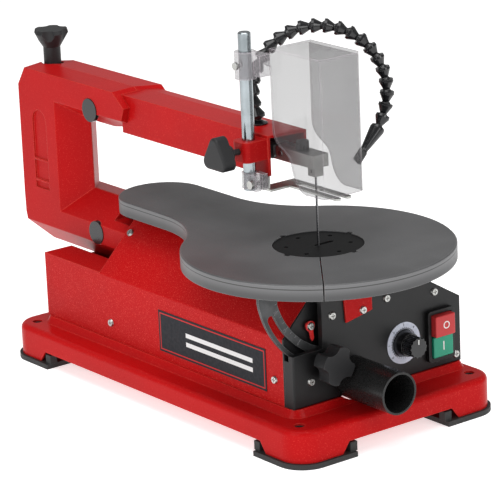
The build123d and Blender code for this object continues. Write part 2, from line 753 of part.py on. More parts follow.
rear_hinge_y = REAR_LUG_Y + LUG_T + 1.0
with BuildPart() as rear_hinge:
    with BuildSketch(front_plane(rear_hinge_y)):
        with Locations((0, -PLATEAU_DROP)):
            Rectangle(12, PLATEAU_DROP - TILT_DROP, align=(Align.CENTER, Align.MIN))
        with Locations((0, -TILT_DROP)):
            Circle(6)
            Circle(SMALL_PIN_R, mode=Mode.SUBTRACT)
    extrude(amount=-2.5)
    with BuildSketch(table_plane(-PLATEAU_DROP)):
        with Locations((0, rear_hinge_y)):
            Rectangle(30, 16, align=(Align.CENTER, Align.MIN))
    extrude(amount=2.5)
rear_hinge.part.label = "rear_hinge"
export_step(rear_hinge.part, "parts/rear_hinge.step")

with BuildPart() as tilt_pins:
    with BuildSketch(front_plane(FRONT_LUG_Y - 1.5)):
        with Locations((0, -TILT_DROP)):
            Circle(SMALL_PIN_R)
    extrude(amount=-(face_y - FRONT_LUG_Y + 1.5))
    with BuildSketch(front_plane(REAR_LUG_Y - 1.5)):
        with Locations((0, -TILT_DROP)):
            Circle(SMALL_PIN_R)
    extrude(amount=-(rear_hinge_y + 2.5 - REAR_LUG_Y + 1.5))
tilt_pins.part.label = "tilt_pins"
export_step(tilt_pins.part, "parts/tilt_pins.step")

with BuildPart() as angle_pointer:
    with BuildSketch(front_plane(-HOUSING_FRONT - FRONT_PLATE)):
        with Locations((-37, -64)):
            Circle(3.5)
    extrude(amount=2.5)
    with BuildSketch(front_plane(-HOUSING_FRONT - FRONT_PLATE - 2.5)):
        with Locations((-37, -64)):
            Circle(5)
        with BuildLine():
            Polyline((-39.5, -64), (-34.5, -64), (-33.5, -76), (-35.5, -78.5), (-37, -76), close=True)
        make_face()
    extrude(amount=1.5)
    with BuildSketch(front_plane(-HOUSING_FRONT - FRONT_PLATE - 4.0)):
        with Locations((-37, -64)):
            Circle(screw_r)
    extrude(amount=-3.0, mode=Mode.SUBTRACT)
angle_pointer.part.label = "angle_pointer"
export_step(angle_pointer.part, "parts/angle_pointer.step")

with BuildPart() as small_screws:
    for x, y, z in ((-37, -HOUSING_FRONT - FRONT_PLATE - 4.0, -64), (16, face_y - 2, -58)):
        with BuildSketch(front_plane(y)):
            with Locations((x, z)):
                Circle(head_r)
        extrude(amount=head_rise, taper=25)
        with BuildSketch(front_plane(y)):
            with Locations((x, z)):
                Circle(screw_r)
        extrude(amount=-2.0)
        with BuildSketch(front_plane(y - head_rise)):
            with Locations((x, z)):
                Rectangle(4.4, 0.9)
                Rectangle(0.9, 4.4)
        extrude(amount=-1.0, mode=Mode.SUBTRACT)
small_screws.part.label = "small_screws"
export_step(small_screws.part, "parts/small_screws.step")

KNOB_R = 18.0
with BuildPart() as tilt_knob:
    with BuildSketch(front_plane(face_y - 8)):
        with Locations((lock_x, lock_z)):
            Circle(KNOB_R)
            with PolarLocations(KNOB_R + 5, 4, start_angle=20):
                Circle(10, mode=Mode.SUBTRACT)
        fillet(vertices(), 1.5)
    extrude(amount=15)
    with BuildSketch(front_plane(face_y - 8)):
        with Locations((lock_x, lock_z)):
            Circle(8)
    extrude(amount=-7.5)
tilt_knob.part.label = "tilt_knob"
export_step(tilt_knob.part, "parts/tilt_knob.step")

with BuildPart() as lock_bolt:
    with BuildSketch(front_plane(face_y - 0.5)):
        with Locations((lock_x, lock_z)):
            Circle(SMALL_PIN_R)
    extrude(amount=-(COVER_DEPTH + FRONT_PLATE + 8))
lock_bolt.part.label = "lock_bolt"
export_step(lock_bolt.part, "parts/lock_bolt.step")

with BuildPart() as lock_nut:
    with BuildSketch(front_plane(-HOUSING_FRONT)):
        with Locations((lock_x, lock_z)):
            RegularPolygon(6.5, 6)
            Circle(SMALL_PIN_R + RUNNING, mode=Mode.SUBTRACT)
    extrude(amount=-5)
lock_nut.part.label = "lock_nut"
export_step(lock_nut.part, "parts/lock_nut.step")

# ---- C frame ------------------------------------------------------------------------
CREST = -6.0  # the casing halves meet here, at the crest of the throat's wedge
THROAT_Y = 350.0
CASE_REAR = 446.0
CASE_TOP = 103.0
CASE_BOTTOM = -83.0
THROAT_TOP = 57.0
THROAT_BOTTOM = -13.5
NOSE_Y = 254.0
case_crest = [
    (PLATEAU_REAR, CASE_BOTTOM),
    (CASE_REAR - 16, CASE_BOTTOM),
    (CASE_REAR - 9, CASE_BOTTOM + 7),
    (CASE_REAR + 0.5, -30),
    (CASE_REAR, CASE_TOP - 17),
    (CASE_REAR - 16, CASE_TOP + 1),
    (NOSE_Y + 18, CASE_TOP + 1),
    (NOSE_Y, CASE_TOP - 14),
    (NOSE_Y + 8, THROAT_TOP + 8),
    (NOSE_Y + 55, THROAT_TOP),
    (THROAT_Y, THROAT_TOP),
    (THROAT_Y, THROAT_BOTTOM),
    (PLATEAU_REAR, THROAT_BOTTOM),
]
case_left_face = [
    (PLATEAU_REAR, CASE_BOTTOM + 25),
    (CASE_REAR - 10, CASE_BOTTOM + 25),
    (CASE_REAR - 8, CASE_BOTTOM + 33),
    (CASE_REAR - 7.5, -30),
    (CASE_REAR - 8, CASE_TOP - 19),
    (CASE_REAR - 21, CASE_TOP),
    (NOSE_Y + 18, CASE_TOP),
    (NOSE_Y, CASE_TOP - 14),
    (NOSE_Y + 5, THROAT_TOP + 19),
    (NOSE_Y + 50, THROAT_TOP + 18.5),
    (THROAT_Y + 25, THROAT_TOP + 19),
    (THROAT_Y + 25, THROAT_BOTTOM - 25),
    (PLATEAU_REAR, THROAT_BOTTOM - 25),
]
case_right_face = [
    (PLATEAU_REAR, CASE_BOTTOM + 8),
    (CASE_REAR - 12, CASE_BOTTOM + 8),
    (CASE_REAR - 8, CASE_BOTTOM + 15),
    (CASE_REAR - 7.5, -30),
    (CASE_REAR - 8, CASE_TOP - 21),
    (CASE_REAR - 21, CASE_TOP - 3),
    (NOSE_Y + 18, CASE_TOP - 3),
    (NOSE_Y, CASE_TOP - 17),
    (NOSE_Y + 8, THROAT_TOP + 10),
    (NOSE_Y + 55, THROAT_TOP + 5),
    (THROAT_Y + 40, THROAT_TOP + 5),
    (THROAT_Y + 40, THROAT_BOTTOM - 8),
    (PLATEAU_REAR, THROAT_BOTTOM - 8),
]
case_hollow = [
    (PLATEAU_REAR - 1, LOWER_PIVOT_Z - 26),
    (CASE_REAR - 13, LOWER_PIVOT_Z - 26),
    (CASE_REAR - 7, -30),
    (CASE_REAR - 7, CASE_TOP - 19),
    (CASE_REAR - 14, CASE_TOP - CASE_WALL - 5),
    (NOSE_Y - 1, CASE_TOP - CASE_WALL - 5),
    (NOSE_Y - 1, UPPER_PIVOT_Z - 14.5),
    (REAR_LINK_Y - 13, UPPER_PIVOT_Z - 14.5),
    (REAR_LINK_Y - 13, LOWER_PIVOT_Z + 17.5),
    (PLATEAU_REAR - 1, LOWER_PIVOT_Z + 17.5),
]
CASE_HOLLOW_HALF = 11.0
PLUG_R = 12.0
PLUG_T = 3.0
LOBE_CLEAR = 5.0
LOBE_DIP = 7.0  # the tilted lobe's low side dips this far below the plateau
SLEEVE_REAR = NOSE_Y + 14


def case_half(face_x, profile):
    """One solid casing half: ruled from the crest out to its side face."""
    with BuildPart() as half:
        with BuildSketch(side_plane(CREST)):
            with BuildLine():
                Polyline(*case_crest, close=True)
            make_face()
        with BuildSketch(side_plane(face_x)):
            with BuildLine():
                Polyline(*profile, close=True)
            make_face()
        loft(ruled=True)
    return half.part


for name, face_x, profile in (
    ("casing_left", -CASE_LEFT, case_left_face),
    ("casing_right", CASE_RIGHT, case_right_face),
):
    side = -1 if face_x < 0 else 1
    with BuildPart() as casing:
        add(case_half(face_x, profile))
        with BuildSketch(side_plane(0)):
            with BuildLine():
                Polyline(*case_hollow, close=True)
            make_face()
        extrude(amount=CASE_HOLLOW_HALF, both=True, mode=Mode.SUBTRACT)
        # room for the table's rear lobe
        with BuildSketch(table_plane(-PLATEAU_DROP - LOBE_DIP)):
            with Locations((0, PLATEAU_REAR)):
                Rectangle(80, LOBE_REACH + LOBE_CLEAR - PLATEAU_REAR, align=(Align.CENTER, Align.MIN))
        extrude(amount=PLATEAU_DROP + LOBE_DIP, mode=Mode.SUBTRACT)
        # socket for the arm sleeve
        with BuildSketch(table_plane(SLEEVE_BOTTOM - 8)):
            with Locations(((SLEEVE_RIGHT - SLEEVE_LEFT) / 2, SLEEVE_REAR)):
                Rectangle(SLEEVE_LEFT + SLEEVE_RIGHT, 30, align=(Align.CENTER, Align.MAX))
        extrude(amount=SLEEVE_TOP - SLEEVE_BOTTOM + 8, mode=Mode.SUBTRACT)
        # well for the tension knob
        with BuildSketch(table_plane(CASE_TOP - 12)):
            with Locations((0, REAR_LINK_Y)):
                Circle(11.5)
        extrude(amount=20, mode=Mode.SUBTRACT)
        # pivot pin bores, with a round pocket for each plug
        with BuildSketch(side_plane(0)):
            with Locations((ARM_PIVOT_Y, UPPER_PIVOT_Z), (ARM_PIVOT_Y, LOWER_PIVOT_Z)):
                Circle(PIN_R)
        extrude(amount=40, both=True, mode=Mode.SUBTRACT)
        with BuildSketch(side_plane(face_x)):
            with Locations((ARM_PIVOT_Y, UPPER_PIVOT_Z), (ARM_PIVOT_Y, LOWER_PIVOT_Z)):
                Circle(PLUG_R)
        extrude(amount=-side * PLUG_T, mode=Mode.SUBTRACT)
        # arched panel on the column's left, with two bars left standing
        if side < 0:
            with BuildSketch(side_plane(face_x)):
                with Locations((CASE_REAR - 42, -20)):
                    Rectangle(24, 70, align=(Align.CENTER, Align.MIN))
                with Locations((CASE_REAR - 42, 50)):
                    Circle(12)
                with Locations((CASE_REAR - 42, 10), (CASE_REAR - 42, -12)):
                    Rectangle(26, 2.0, mode=Mode.SUBTRACT)
            extrude(amount=2.0, mode=Mode.SUBTRACT)
    casing.part.label = name
    export_step(casing.part, f"parts/{name}.step")

with BuildPart() as pivot_plugs:
    for face_x, side in ((-CASE_LEFT, -1), (CASE_RIGHT, 1)):
        for z in (UPPER_PIVOT_Z, LOWER_PIVOT_Z):
            with BuildSketch(side_plane(face_x - side * PLUG_T)):
                with Locations((ARM_PIVOT_Y, z)):
                    Circle(PLUG_R)
            extrude(amount=side * (PLUG_T + 0.8), taper=4)
pivot_plugs.part.label = "pivot_plugs"
export_step(pivot_plugs.part, "parts/pivot_plugs.step")

with BuildPart() as pivot_pins:
    for z in (UPPER_PIVOT_Z, LOWER_PIVOT_Z):
        with BuildSketch(side_plane(-CASE_LEFT + PLUG_T + 0.2)):
            with Locations((ARM_PIVOT_Y, z)):
                Circle(PIN_R)
        extrude(amount=CASE_LEFT + CASE_RIGHT - 2 * PLUG_T - 0.4)
pivot_pins.part.label = "pivot_pins"
export_step(pivot_pins.part, "parts/pivot_pins.step")

CHEEK_REAR = 62.0
with BuildPart() as arm_sleeve:
    with BuildSketch(front_plane(SLEEVE_FRONT)):
        with BuildLine():
            Polyline(
                (-SLEEVE_LEFT, SLEEVE_BOTTOM),
                (-SLEEVE_LEFT, SLEEVE_TOP),
                (6, SLEEVE_TOP),
                (SLEEVE_RIGHT, SLEEVE_TOP - 2),
                (SLEEVE_RIGHT, SLEEVE_BOTTOM),
                (SLEEVE_RIGHT - SLEEVE_WALL, SLEEVE_BOTTOM),
                (SLEEVE_RIGHT - SLEEVE_WALL, SLEEVE_TOP - 2 - SLEEVE_WALL),
                (-SLEEVE_LEFT + SLEEVE_WALL, SLEEVE_TOP - SLEEVE_WALL),
                (-SLEEVE_LEFT + SLEEVE_WALL, SLEEVE_BOTTOM),
                close=True,
            )
        make_face()
    extrude(amount=-(SLEEVE_REAR - SLEEVE_FRONT))
    # the right cheek is cut up at the mouth, and the left one gives way to the post bracket
    with BuildSketch(side_plane(0)):
        with Locations((SLEEVE_FRONT - 1, SLEEVE_BOTTOM - 1)):
            Rectangle(14, 16, align=(Align.MIN, Align.MIN))
    extrude(amount=SLEEVE_RIGHT + 1, mode=Mode.SUBTRACT)
    with BuildSketch(side_plane(-SLEEVE_LEFT + SLEEVE_WALL)):
        with Locations((SLEEVE_FRONT - 1, SLEEVE_BOTTOM - 1)):
            Rectangle(CHEEK_REAR - SLEEVE_FRONT + 1, 50, align=(Align.MIN, Align.MIN))
    extrude(amount=-SLEEVE_WALL - 1, mode=Mode.SUBTRACT)
arm_sleeve.part.label = "arm_sleeve"
export_step(arm_sleeve.part, "parts/arm_sleeve.step")

# ---- arms, blade and tension link ----------------------------------------------------
TIP_RISE = 2.0  # both arm tips sit this far above their pivots
FORK_HALF = 4.3
HUB_R = 11.0


def arm_side(pivot_z, rear_half, pivot_half, front_half, tip_half):
    """Side view of an arm, tapering from its pivot to its tip."""
    tip = pivot_z + TIP_RISE
    return [
        (REAR_LINK_Y + 9, pivot_z - rear_half),
        (REAR_LINK_Y + 9, pivot_z + rear_half),
        (ARM_PIVOT_Y, pivot_z + pivot_half),
        (NOSE_Y + 6, pivot_z + front_half),
        (ARM_TIP_Y + 14, tip + tip_half),
        (ARM_TIP_Y - 4, tip + tip_half - 1),
        (ARM_TIP_Y - 4, tip - tip_half + 1),
        (ARM_TIP_Y + 14, tip - tip_half),
        (NOSE_Y + 6, pivot_z - front_half),
        (ARM_PIVOT_Y, pivot_z - pivot_half),
    ]


for name, pivot_z, sizes in (
    ("upper_arm", UPPER_PIVOT_Z, (8, 12, 10.5, 5.5)),
    ("lower_arm", LOWER_PIVOT_Z, (8, 12, 10.5, 5.5)),
):
    with BuildPart() as arm:
        with BuildSketch(side_plane(0)):
            with BuildLine():
                Polyline(*arm_side(pivot_z, *sizes), close=True)
            make_face()
        extrude(amount=ARM_HALF, both=True)
        # webs milled from both sides
        with BuildSketch(side_plane(ARM_HALF)):
            with Locations(((ARM_PIVOT_Y + ARM_TIP_Y) / 2, pivot_z + TIP_RISE / 2)):
                SlotOverall(ARM_PIVOT_Y - ARM_TIP_Y - 80, 9)
        extrude(amount=-4.5, mode=Mode.SUBTRACT)
        with BuildSketch(side_plane(-ARM_HALF)):
            with Locations(((ARM_PIVOT_Y + ARM_TIP_Y) / 2, pivot_z + TIP_RISE / 2)):
                SlotOverall(ARM_PIVOT_Y - ARM_TIP_Y - 80, 9)
        extrude(amount=4.5, mode=Mode.SUBTRACT)
        # slim tip between the blade holder's cheeks, forked rear end round the tension link
        for side in (-1, 1):
            with BuildSketch(side_plane(side * 5)):
                with Locations((ARM_TIP_Y - 5, pivot_z - 20)):
                    Rectangle(15.5, 50, align=(Align.MIN, Align.MIN))
            extrude(amount=side * 10, mode=Mode.SUBTRACT)
        with BuildSketch(side_plane(0)):
            with Locations((REAR_LINK_Y - 10, pivot_z - 20)):
                Rectangle(30, 50, align=(Align.MIN, Align.MIN))
        extrude(amount=FORK_HALF, both=True, mode=Mode.SUBTRACT)
        # hub round the fixed pivot pin
        with BuildSketch(side_plane(0)):
            with Locations((ARM_PIVOT_Y, pivot_z)):
                Circle(HUB_R)
        extrude(amount=CASE_HOLLOW_HALF - GAP, both=True)
        with BuildSketch(side_plane(0)):
            with Locations((ARM_PIVOT_Y, pivot_z)):
                Circle(PIN_R + RUNNING)
        extrude(amount=20, both=True, mode=Mode.SUBTRACT)
        with BuildSketch(side_plane(0)):
            with Locations((REAR_LINK_Y, pivot_z), (ARM_TIP_Y, pivot_z + TIP_RISE)):
                Circle(SMALL_PIN_R + RUNNING)
        extrude(amount=20, both=True, mode=Mode.SUBTRACT)
        # drive pin that the connecting rod turns on
        if name == "lower_arm":
            with BuildSketch(side_plane(ARM_HALF - 5)):
                with Locations((MOTOR_Y, pivot_z)):
                    Circle(4)
            extrude(amount=14.5)
    arm.part.label = name
    export_step(arm.part, f"parts/{name}.step")

upper_tip = UPPER_PIVOT_Z + TIP_RISE
lower_tip = LOWER_PIVOT_Z + TIP_RISE
for name, tip, up in (("upper_holder", upper_tip, 1), ("lower_holder", lower_tip, -1)):
    with BuildPart() as holder:
        with BuildSketch(side_plane(0)):
            with Locations((-8, tip)):
                Rectangle(ARM_TIP_Y + 14, 12, align=(Align.MIN, Align.CENTER))
        extrude(amount=9, both=True)
        with BuildSketch(side_plane(0)):
            with Locations((ARM_TIP_Y - 6, tip)):
                Rectangle(20, 20, align=(Align.MIN, Align.CENTER))
        extrude(amount=5.2, both=True, mode=Mode.SUBTRACT)
        with BuildSketch(side_plane(0)):
            with Locations((0, tip - up * 10)):
                Rectangle(10, 10)
        extrude(amount=5, both=True)
        with BuildSketch(side_plane(0)):
            with Locations((0, tip - up * 5)):
                Rectangle(3.4, 22)
        extrude(amount=0.6, both=True, mode=Mode.SUBTRACT)
        with BuildSketch(side_plane(0)):
            with Locations((0, tip - up * 10)):
                Circle(1.5)
        extrude(amount=5.5, both=True, mode=Mode.SUBTRACT)
        with BuildSketch(side_plane(0)):
            with Locations((ARM_TIP_Y, tip)):
                Circle(SMALL_PIN_R)
        extrude(amount=20, both=True, mode=Mode.SUBTRACT)
        with BuildSketch(table_plane(tip + up * 6)):
            with Locations((0, 18)):
                Circle(SMALL_PIN_R + RUNNING)
        extrude(amount=-up * 8, mode=Mode.SUBTRACT)
    holder.part.label = name
    export_step(holder.part, f"parts/{name}.step")
    with BuildPart() as clamp_screw:
        with BuildSketch(table_plane(tip + up * 6.3)):
            with Locations((0, 18)):
                Circle(5.5)
                with PolarLocations(5.5, 12):
                    Circle(0.6)
        extrude(amount=up * 8.5)
        with BuildSketch(table_plane(tip + up * 6.3)):
            with Locations((0, 18)):
                Circle(SMALL_PIN_R)
        extrude(amount=-up * 8)
        with BuildSketch(table_plane(tip + up * 14.8)):
            with Locations((0, 18)):
                RegularPolygon(2.8, 6)
        extrude(amount=-up * 3, mode=Mode.SUBTRACT)
    screw_name = name.replace("holder", "clamp_screw")
    clamp_screw.part.label = screw_name
    export_step(clamp_screw.part, f"parts/{screw_name}.step")

with BuildPart() as holder_pins:
    with BuildSketch(side_plane(0)):
        with Locations((ARM_TIP_Y, upper_tip), (ARM_TIP_Y, lower_tip)):
            Circle(SMALL_PIN_R)
    extrude(amount=9.5, both=True)
holder_pins.part.label = "holder_pins"
export_step(holder_pins.part, "parts/holder_pins.step")

with BuildPart() as blade:
    with BuildSketch(side_plane(0)):
        with Locations((0, (upper_tip + lower_tip) / 2)):
            Rectangle(2.6, upper_tip - lower_tip - 14)
    extrude(amount=0.3, both=True)
    with BuildSketch(side_plane(0)):
        with Locations((0, upper_tip - 10), (0, lower_tip + 10)):
            Circle(1.2)
    extrude(amount=4, both=True)
blade.part.label = "saw_blade"
export_step(blade.part, "parts/saw_blade.step")

BOOT_Y = 52.0
with BuildPart() as arm_boot:
    for step in range(4):
        with BuildSketch(front_plane(BOOT_Y + 3.2 * step)):
            with Locations((0, upper_tip)):
                RectangleRounded(23, 14.2, 3.5)
        extrude(amount=-1.8)
        with BuildSketch(front_plane(BOOT_Y + 3.2 * step)):
            with Locations((0, upper_tip)):
                RectangleRounded(20.5, 13.4, 2.5)
        extrude(amount=-3.2)
    with BuildSketch(front_plane(BOOT_Y - 1)):
        with Locations((0, upper_tip)):
            Rectangle(2 * ARM_HALF, 11.7)
    extrude(amount=-20, mode=Mode.SUBTRACT)
arm_boot.part.label = "arm_boot"
export_step(arm_boot.part, "parts/arm_boot.step")

with BuildPart() as tension_link:
    with BuildSketch(side_plane(0)):
        with Locations((REAR_LINK_Y, (UPPER_PIVOT_Z + LOWER_PIVOT_Z) / 2)):
            Rectangle(12, UPPER_PIVOT_Z - LOWER_PIVOT_Z + 14)
    extrude(amount=FORK_HALF - GAP, both=True)
    # cross pins the two arms turn on
    with BuildSketch(side_plane(0)):
        with Locations((REAR_LINK_Y, UPPER_PIVOT_Z), (REAR_LINK_Y, LOWER_PIVOT_Z)):
            Circle(SMALL_PIN_R)
    extrude(amount=ARM_HALF, both=True)
    with BuildSketch(table_plane(UPPER_PIVOT_Z + 7)):
        with Locations((0, REAR_LINK_Y)):
            Circle(4)
    extrude(amount=33)
tension_link.part.label = "tension_link"
export_step(tension_link.part, "parts/tension_link.step")

KNOB_TOP = 138.0
with BuildPart() as tension_knob:
    with BuildSketch(table_plane(KNOB_TOP - 42)):
        with Locations((0, REAR_LINK_Y)):
            Circle(8.8)
    extrude(amount=26)
    with BuildSketch(table_plane(KNOB_TOP - 18)):
        with Locations((0, REAR_LINK_Y)):
            Circle(9)
    with BuildSketch(table_plane(KNOB_TOP - 4)):
        with Locations((0, REAR_LINK_Y)):
            Circle(17.5)
    loft()
    with BuildSketch(table_plane(KNOB_TOP - 4)):
        with Locations((0, REAR_LINK_Y)):
            Circle(17.5)
    extrude(amount=4, taper=15)
    with BuildSketch(table_plane(KNOB_TOP + 1)):
        with Locations((0, REAR_LINK_Y)):
            with PolarLocations(21, 5, start_angle=10):
                Circle(8)
    extrude(amount=-19.5, mode=Mode.SUBTRACT)
    with BuildSketch(table_plane(KNOB_TOP - 43)):
        with Locations((0, REAR_LINK_Y)):
            Circle(4 + RUNNING)
    extrude(amount=24, mode=Mode.SUBTRACT)
tension_knob.part.label = "tension_knob"
export_step(tension_knob.part, "parts/tension_knob.step")

# ---- drive ---------------------------------------------------------------------------
MOTOR_LEFT = 28.0
MOTOR_RIGHT = 118.0
SHAFT_R = 4.0
ECCENTRIC_LEFT = 10.0
ECCENTRIC_RIGHT = 16.0
ECCENTRIC_R = 12.0
SMALL_EYE_BORE = 12.0  # opened, so that the round path of the rod clears the arm's drive pin
eccentric_y = MOTOR_Y + ECCENTRIC_THROW

with BuildPart() as motor:
    with BuildSketch(side_plane(MOTOR_LEFT)):
        with Locations((MOTOR_Y, -MOTOR_DROP)):
            Circle(MOTOR_R)
    extrude(amount=MOTOR_RIGHT - MOTOR_LEFT)
    # cooling fins round the can
    with BuildSketch(side_plane(MOTOR_LEFT + 18)):
        with Locations((MOTOR_Y, -MOTOR_DROP)):
            with PolarLocations(MOTOR_R, 24):
                Rectangle(2.5, 2.5)
    extrude(amount=MOTOR_RIGHT - MOTOR_LEFT - 36, mode=Mode.SUBTRACT)
    # feet down to the base
    for x in (MOTOR_LEFT + 6, MOTOR_RIGHT - 18):
        with BuildSketch(side_plane(x)):
            with Locations((MOTOR_Y, STEP_TOP - TABLE_TOP)):
                Rectangle(56, 18, align=(Align.CENTER, Align.MIN))
        extrude(amount=12)
    with BuildSketch(side_plane(MOTOR_LEFT - 1)):
        with Locations((MOTOR_Y, -MOTOR_DROP)):
            Circle(SHAFT_R + RUNNING)
    extrude(amount=MOTOR_RIGHT - MOTOR_LEFT + 2, mode=Mode.SUBTRACT)
motor.part.label = "motor"
export_step(motor.part, "parts/motor.step")

with BuildPart() as motor_shaft:
    with BuildSketch(side_plane(ECCENTRIC_LEFT)):
        with Locations((MOTOR_Y, -MOTOR_DROP)):
            Circle(SHAFT_R)
    extrude(amount=MOTOR_RIGHT + 10 - ECCENTRIC_LEFT)
    with BuildSketch(side_plane(MOTOR_RIGHT + 2)):
        with Locations((MOTOR_Y, -MOTOR_DROP)):
            Circle(9)
            with PolarLocations(15, 8):
                Rectangle(16, 2.5)
    extrude(amount=8)
motor_shaft.part.label = "motor_shaft"
export_step(motor_shaft.part, "parts/motor_shaft.step")

with BuildPart() as eccentric:
    with BuildSketch(side_plane(ECCENTRIC_LEFT)):
        with Locations((eccentric_y, -MOTOR_DROP)):
            Circle(ECCENTRIC_R)
        with Locations((MOTOR_Y, -MOTOR_DROP)):
            Circle(SHAFT_R, mode=Mode.SUBTRACT)
    extrude(amount=ECCENTRIC_RIGHT - ECCENTRIC_LEFT)
eccentric.part.label = "eccentric"
export_step(eccentric.part, "parts/eccentric.step")

with BuildPart() as connecting_rod:
    with BuildSketch(side_plane(ECCENTRIC_LEFT)):
        with Locations((eccentric_y, (LOWER_PIVOT_Z - MOTOR_DROP) / 2)):
            Rectangle(12, MOTOR_DROP + LOWER_PIVOT_Z)
        with Locations((eccentric_y, -MOTOR_DROP)):
            Circle(ECCENTRIC_R + 4)
        with Locations((eccentric_y, LOWER_PIVOT_Z)):
            Circle(SMALL_EYE_BORE + 3)
            Circle(SMALL_EYE_BORE, mode=Mode.SUBTRACT)
        with Locations((eccentric_y, -MOTOR_DROP)):
            Circle(ECCENTRIC_R + RUNNING, mode=Mode.SUBTRACT)
    extrude(amount=ECCENTRIC_RIGHT - ECCENTRIC_LEFT)
connecting_rod.part.label = "connecting_rod"
export_step(connecting_rod.part, "parts/connecting_rod.step")

# ---- guard post, blade guard and hold-down ---------------------------------------------
POST_KNOB_Z = 88.0
KNOB_SCREW_R = 3.0
BLOCK_LEFT = -50.0
CLIP_LEFT = -45.0
CLIP_RIGHT = -31.0
FOOT_SCREW_Y = 37.5
FOOT_SCREW_Z = 58.0
FOOT_Z = 50.0
CLIP_PIN_R = 2.0
guard_side = -GUARD_HALF

with BuildPart() as post_bracket:
    with BuildSketch(side_plane(-SLEEVE_LEFT)):
        with Locations((SLEEVE_FRONT, SLEEVE_BOTTOM)):
            Rectangle(CHEEK_REAR - SLEEVE_FRONT, SLEEVE_TOP - SLEEVE_BOTTOM, align=(Align.MIN, Align.MIN))
    extrude(amount=SLEEVE_WALL)
    with BuildSketch(table_plane(POST_KNOB_Z - 10)):
        with Locations(((BLOCK_LEFT - SLEEVE_LEFT) / 2, POST_Y)):
            Rectangle(-SLEEVE_LEFT - BLOCK_LEFT, 22)
    extrude(amount=19)
    fillet(post_bracket.edges().filter_by(Axis.Z).group_by(Axis.X)[0], radius=6)
    with BuildSketch(table_plane(POST_KNOB_Z - 11)):
        with Locations((POST_X, POST_Y)):
            Circle(POST_R + RUNNING)
    extrude(amount=22, mode=Mode.SUBTRACT)
    with BuildSketch(side_plane(BLOCK_LEFT - 1)):
        with Locations((POST_Y, POST_KNOB_Z)):
            Circle(KNOB_SCREW_R + RUNNING)
    extrude(amount=POST_X - BLOCK_LEFT, mode=Mode.SUBTRACT)
post_bracket.part.label = "post_bracket"
export_step(post_bracket.part, "parts/post_bracket.step")

with BuildPart() as guard_post:
    with BuildSketch(table_plane(POST_BOTTOM)):
        with Locations((POST_X, POST_Y)):
            Circle(POST_R)
    extrude(amount=POST_TOP - POST_BOTTOM)
    chamfer(guard_post.edges().group_by(Axis.Z)[-1], length=1)
guard_post.part.label = "guard_post"
export_step(guard_post.part, "parts/guard_post.step")

with BuildPart() as post_knob:
    with BuildSketch(side_plane(POST_X - POST_R - 0.2)):
        with Locations((POST_Y, POST_KNOB_Z)):
            Circle(KNOB_SCREW_R)
    extrude(amount=-18)
    with BuildSketch(side_plane(BLOCK_LEFT - 10)):
        with Locations((POST_Y, POST_KNOB_Z)):
            Circle(8)
    extrude(amount=-8)
    with BuildSketch(side_plane(BLOCK_LEFT - 16)) as knob_face:
        with Locations((POST_Y, POST_KNOB_Z)):
            RegularPolygon(25, 3, rotation=90)
        fillet(knob_face.vertices(), radius=7)
    extrude(amount=-13)
    fillet(post_knob.faces().sort_by(Axis.X)[0].edges(), radius=2.5)
post_knob.part.label = "post_knob"
export_step(post_knob.part, "parts/post_knob.step")

with BuildPart() as guard_clip:
    with BuildSketch(table_plane(GUARD_PIN_Z - 17)):
        with Locations((POST_X, POST_Y)):
            Circle(POST_R + 4)
    extrude(amount=25)
    with BuildSketch(table_plane(GUARD_PIN_Z - 14)):
        with Locations((POST_X + 2, POST_Y - 19)):
            Rectangle(guard_side - GAP - POST_X - 2, 21, align=(Align.MIN, Align.MIN))
    extrude(amount=20)
    with BuildSketch(table_plane(GUARD_PIN_Z - 20)):
        with Locations((POST_X, POST_Y)):
            Circle(POST_R)
    extrude(amount=40, mode=Mode.SUBTRACT)
    with BuildSketch(side_plane(guard_side - GAP - 4)):
        with Locations((GUARD_PIN_Y, GUARD_PIN_Z)):
            Circle(CLIP_PIN_R)
    extrude(amount=GAP + 4 + GUARD_WALL + 1)
    with BuildSketch(side_plane(POST_X - POST_R - 6)):
        with Locations((POST_Y, GUARD_PIN_Z - 4)):
            Circle(1.6)
    extrude(amount=10, mode=Mode.SUBTRACT)
guard_clip.part.label = "guard_clip"
export_step(guard_clip.part, "parts/guard_clip.step")

with BuildPart() as foot_clip:
    with BuildSketch(table_plane(FOOT_Z + 2)):
        with Locations((CLIP_LEFT, POST_Y - 17)):
            Rectangle(CLIP_RIGHT - CLIP_LEFT, 24, align=(Align.MIN, Align.MIN))
    extrude(amount=15)
    fillet(foot_clip.edges().filter_by(Axis.Z).group_by(Axis.Y)[-1], radius=5)
    with BuildSketch(table_plane(FOOT_Z)):
        with Locations((POST_X, POST_Y)):
            Circle(POST_R)
        with Locations((POST_X, POST_Y - 18)):
            Rectangle(1.6, 14, align=(Align.CENTER, Align.MIN))
    extrude(amount=30, mode=Mode.SUBTRACT)
    with BuildSketch(side_plane(CLIP_LEFT - 1)):
        with Locations((FOOT_SCREW_Y, FOOT_SCREW_Z)):
            Circle(CLIP_PIN_R)
    extrude(amount=30, mode=Mode.SUBTRACT)
foot_clip.part.label = "foot_clip"
export_step(foot_clip.part, "parts/foot_clip.step")

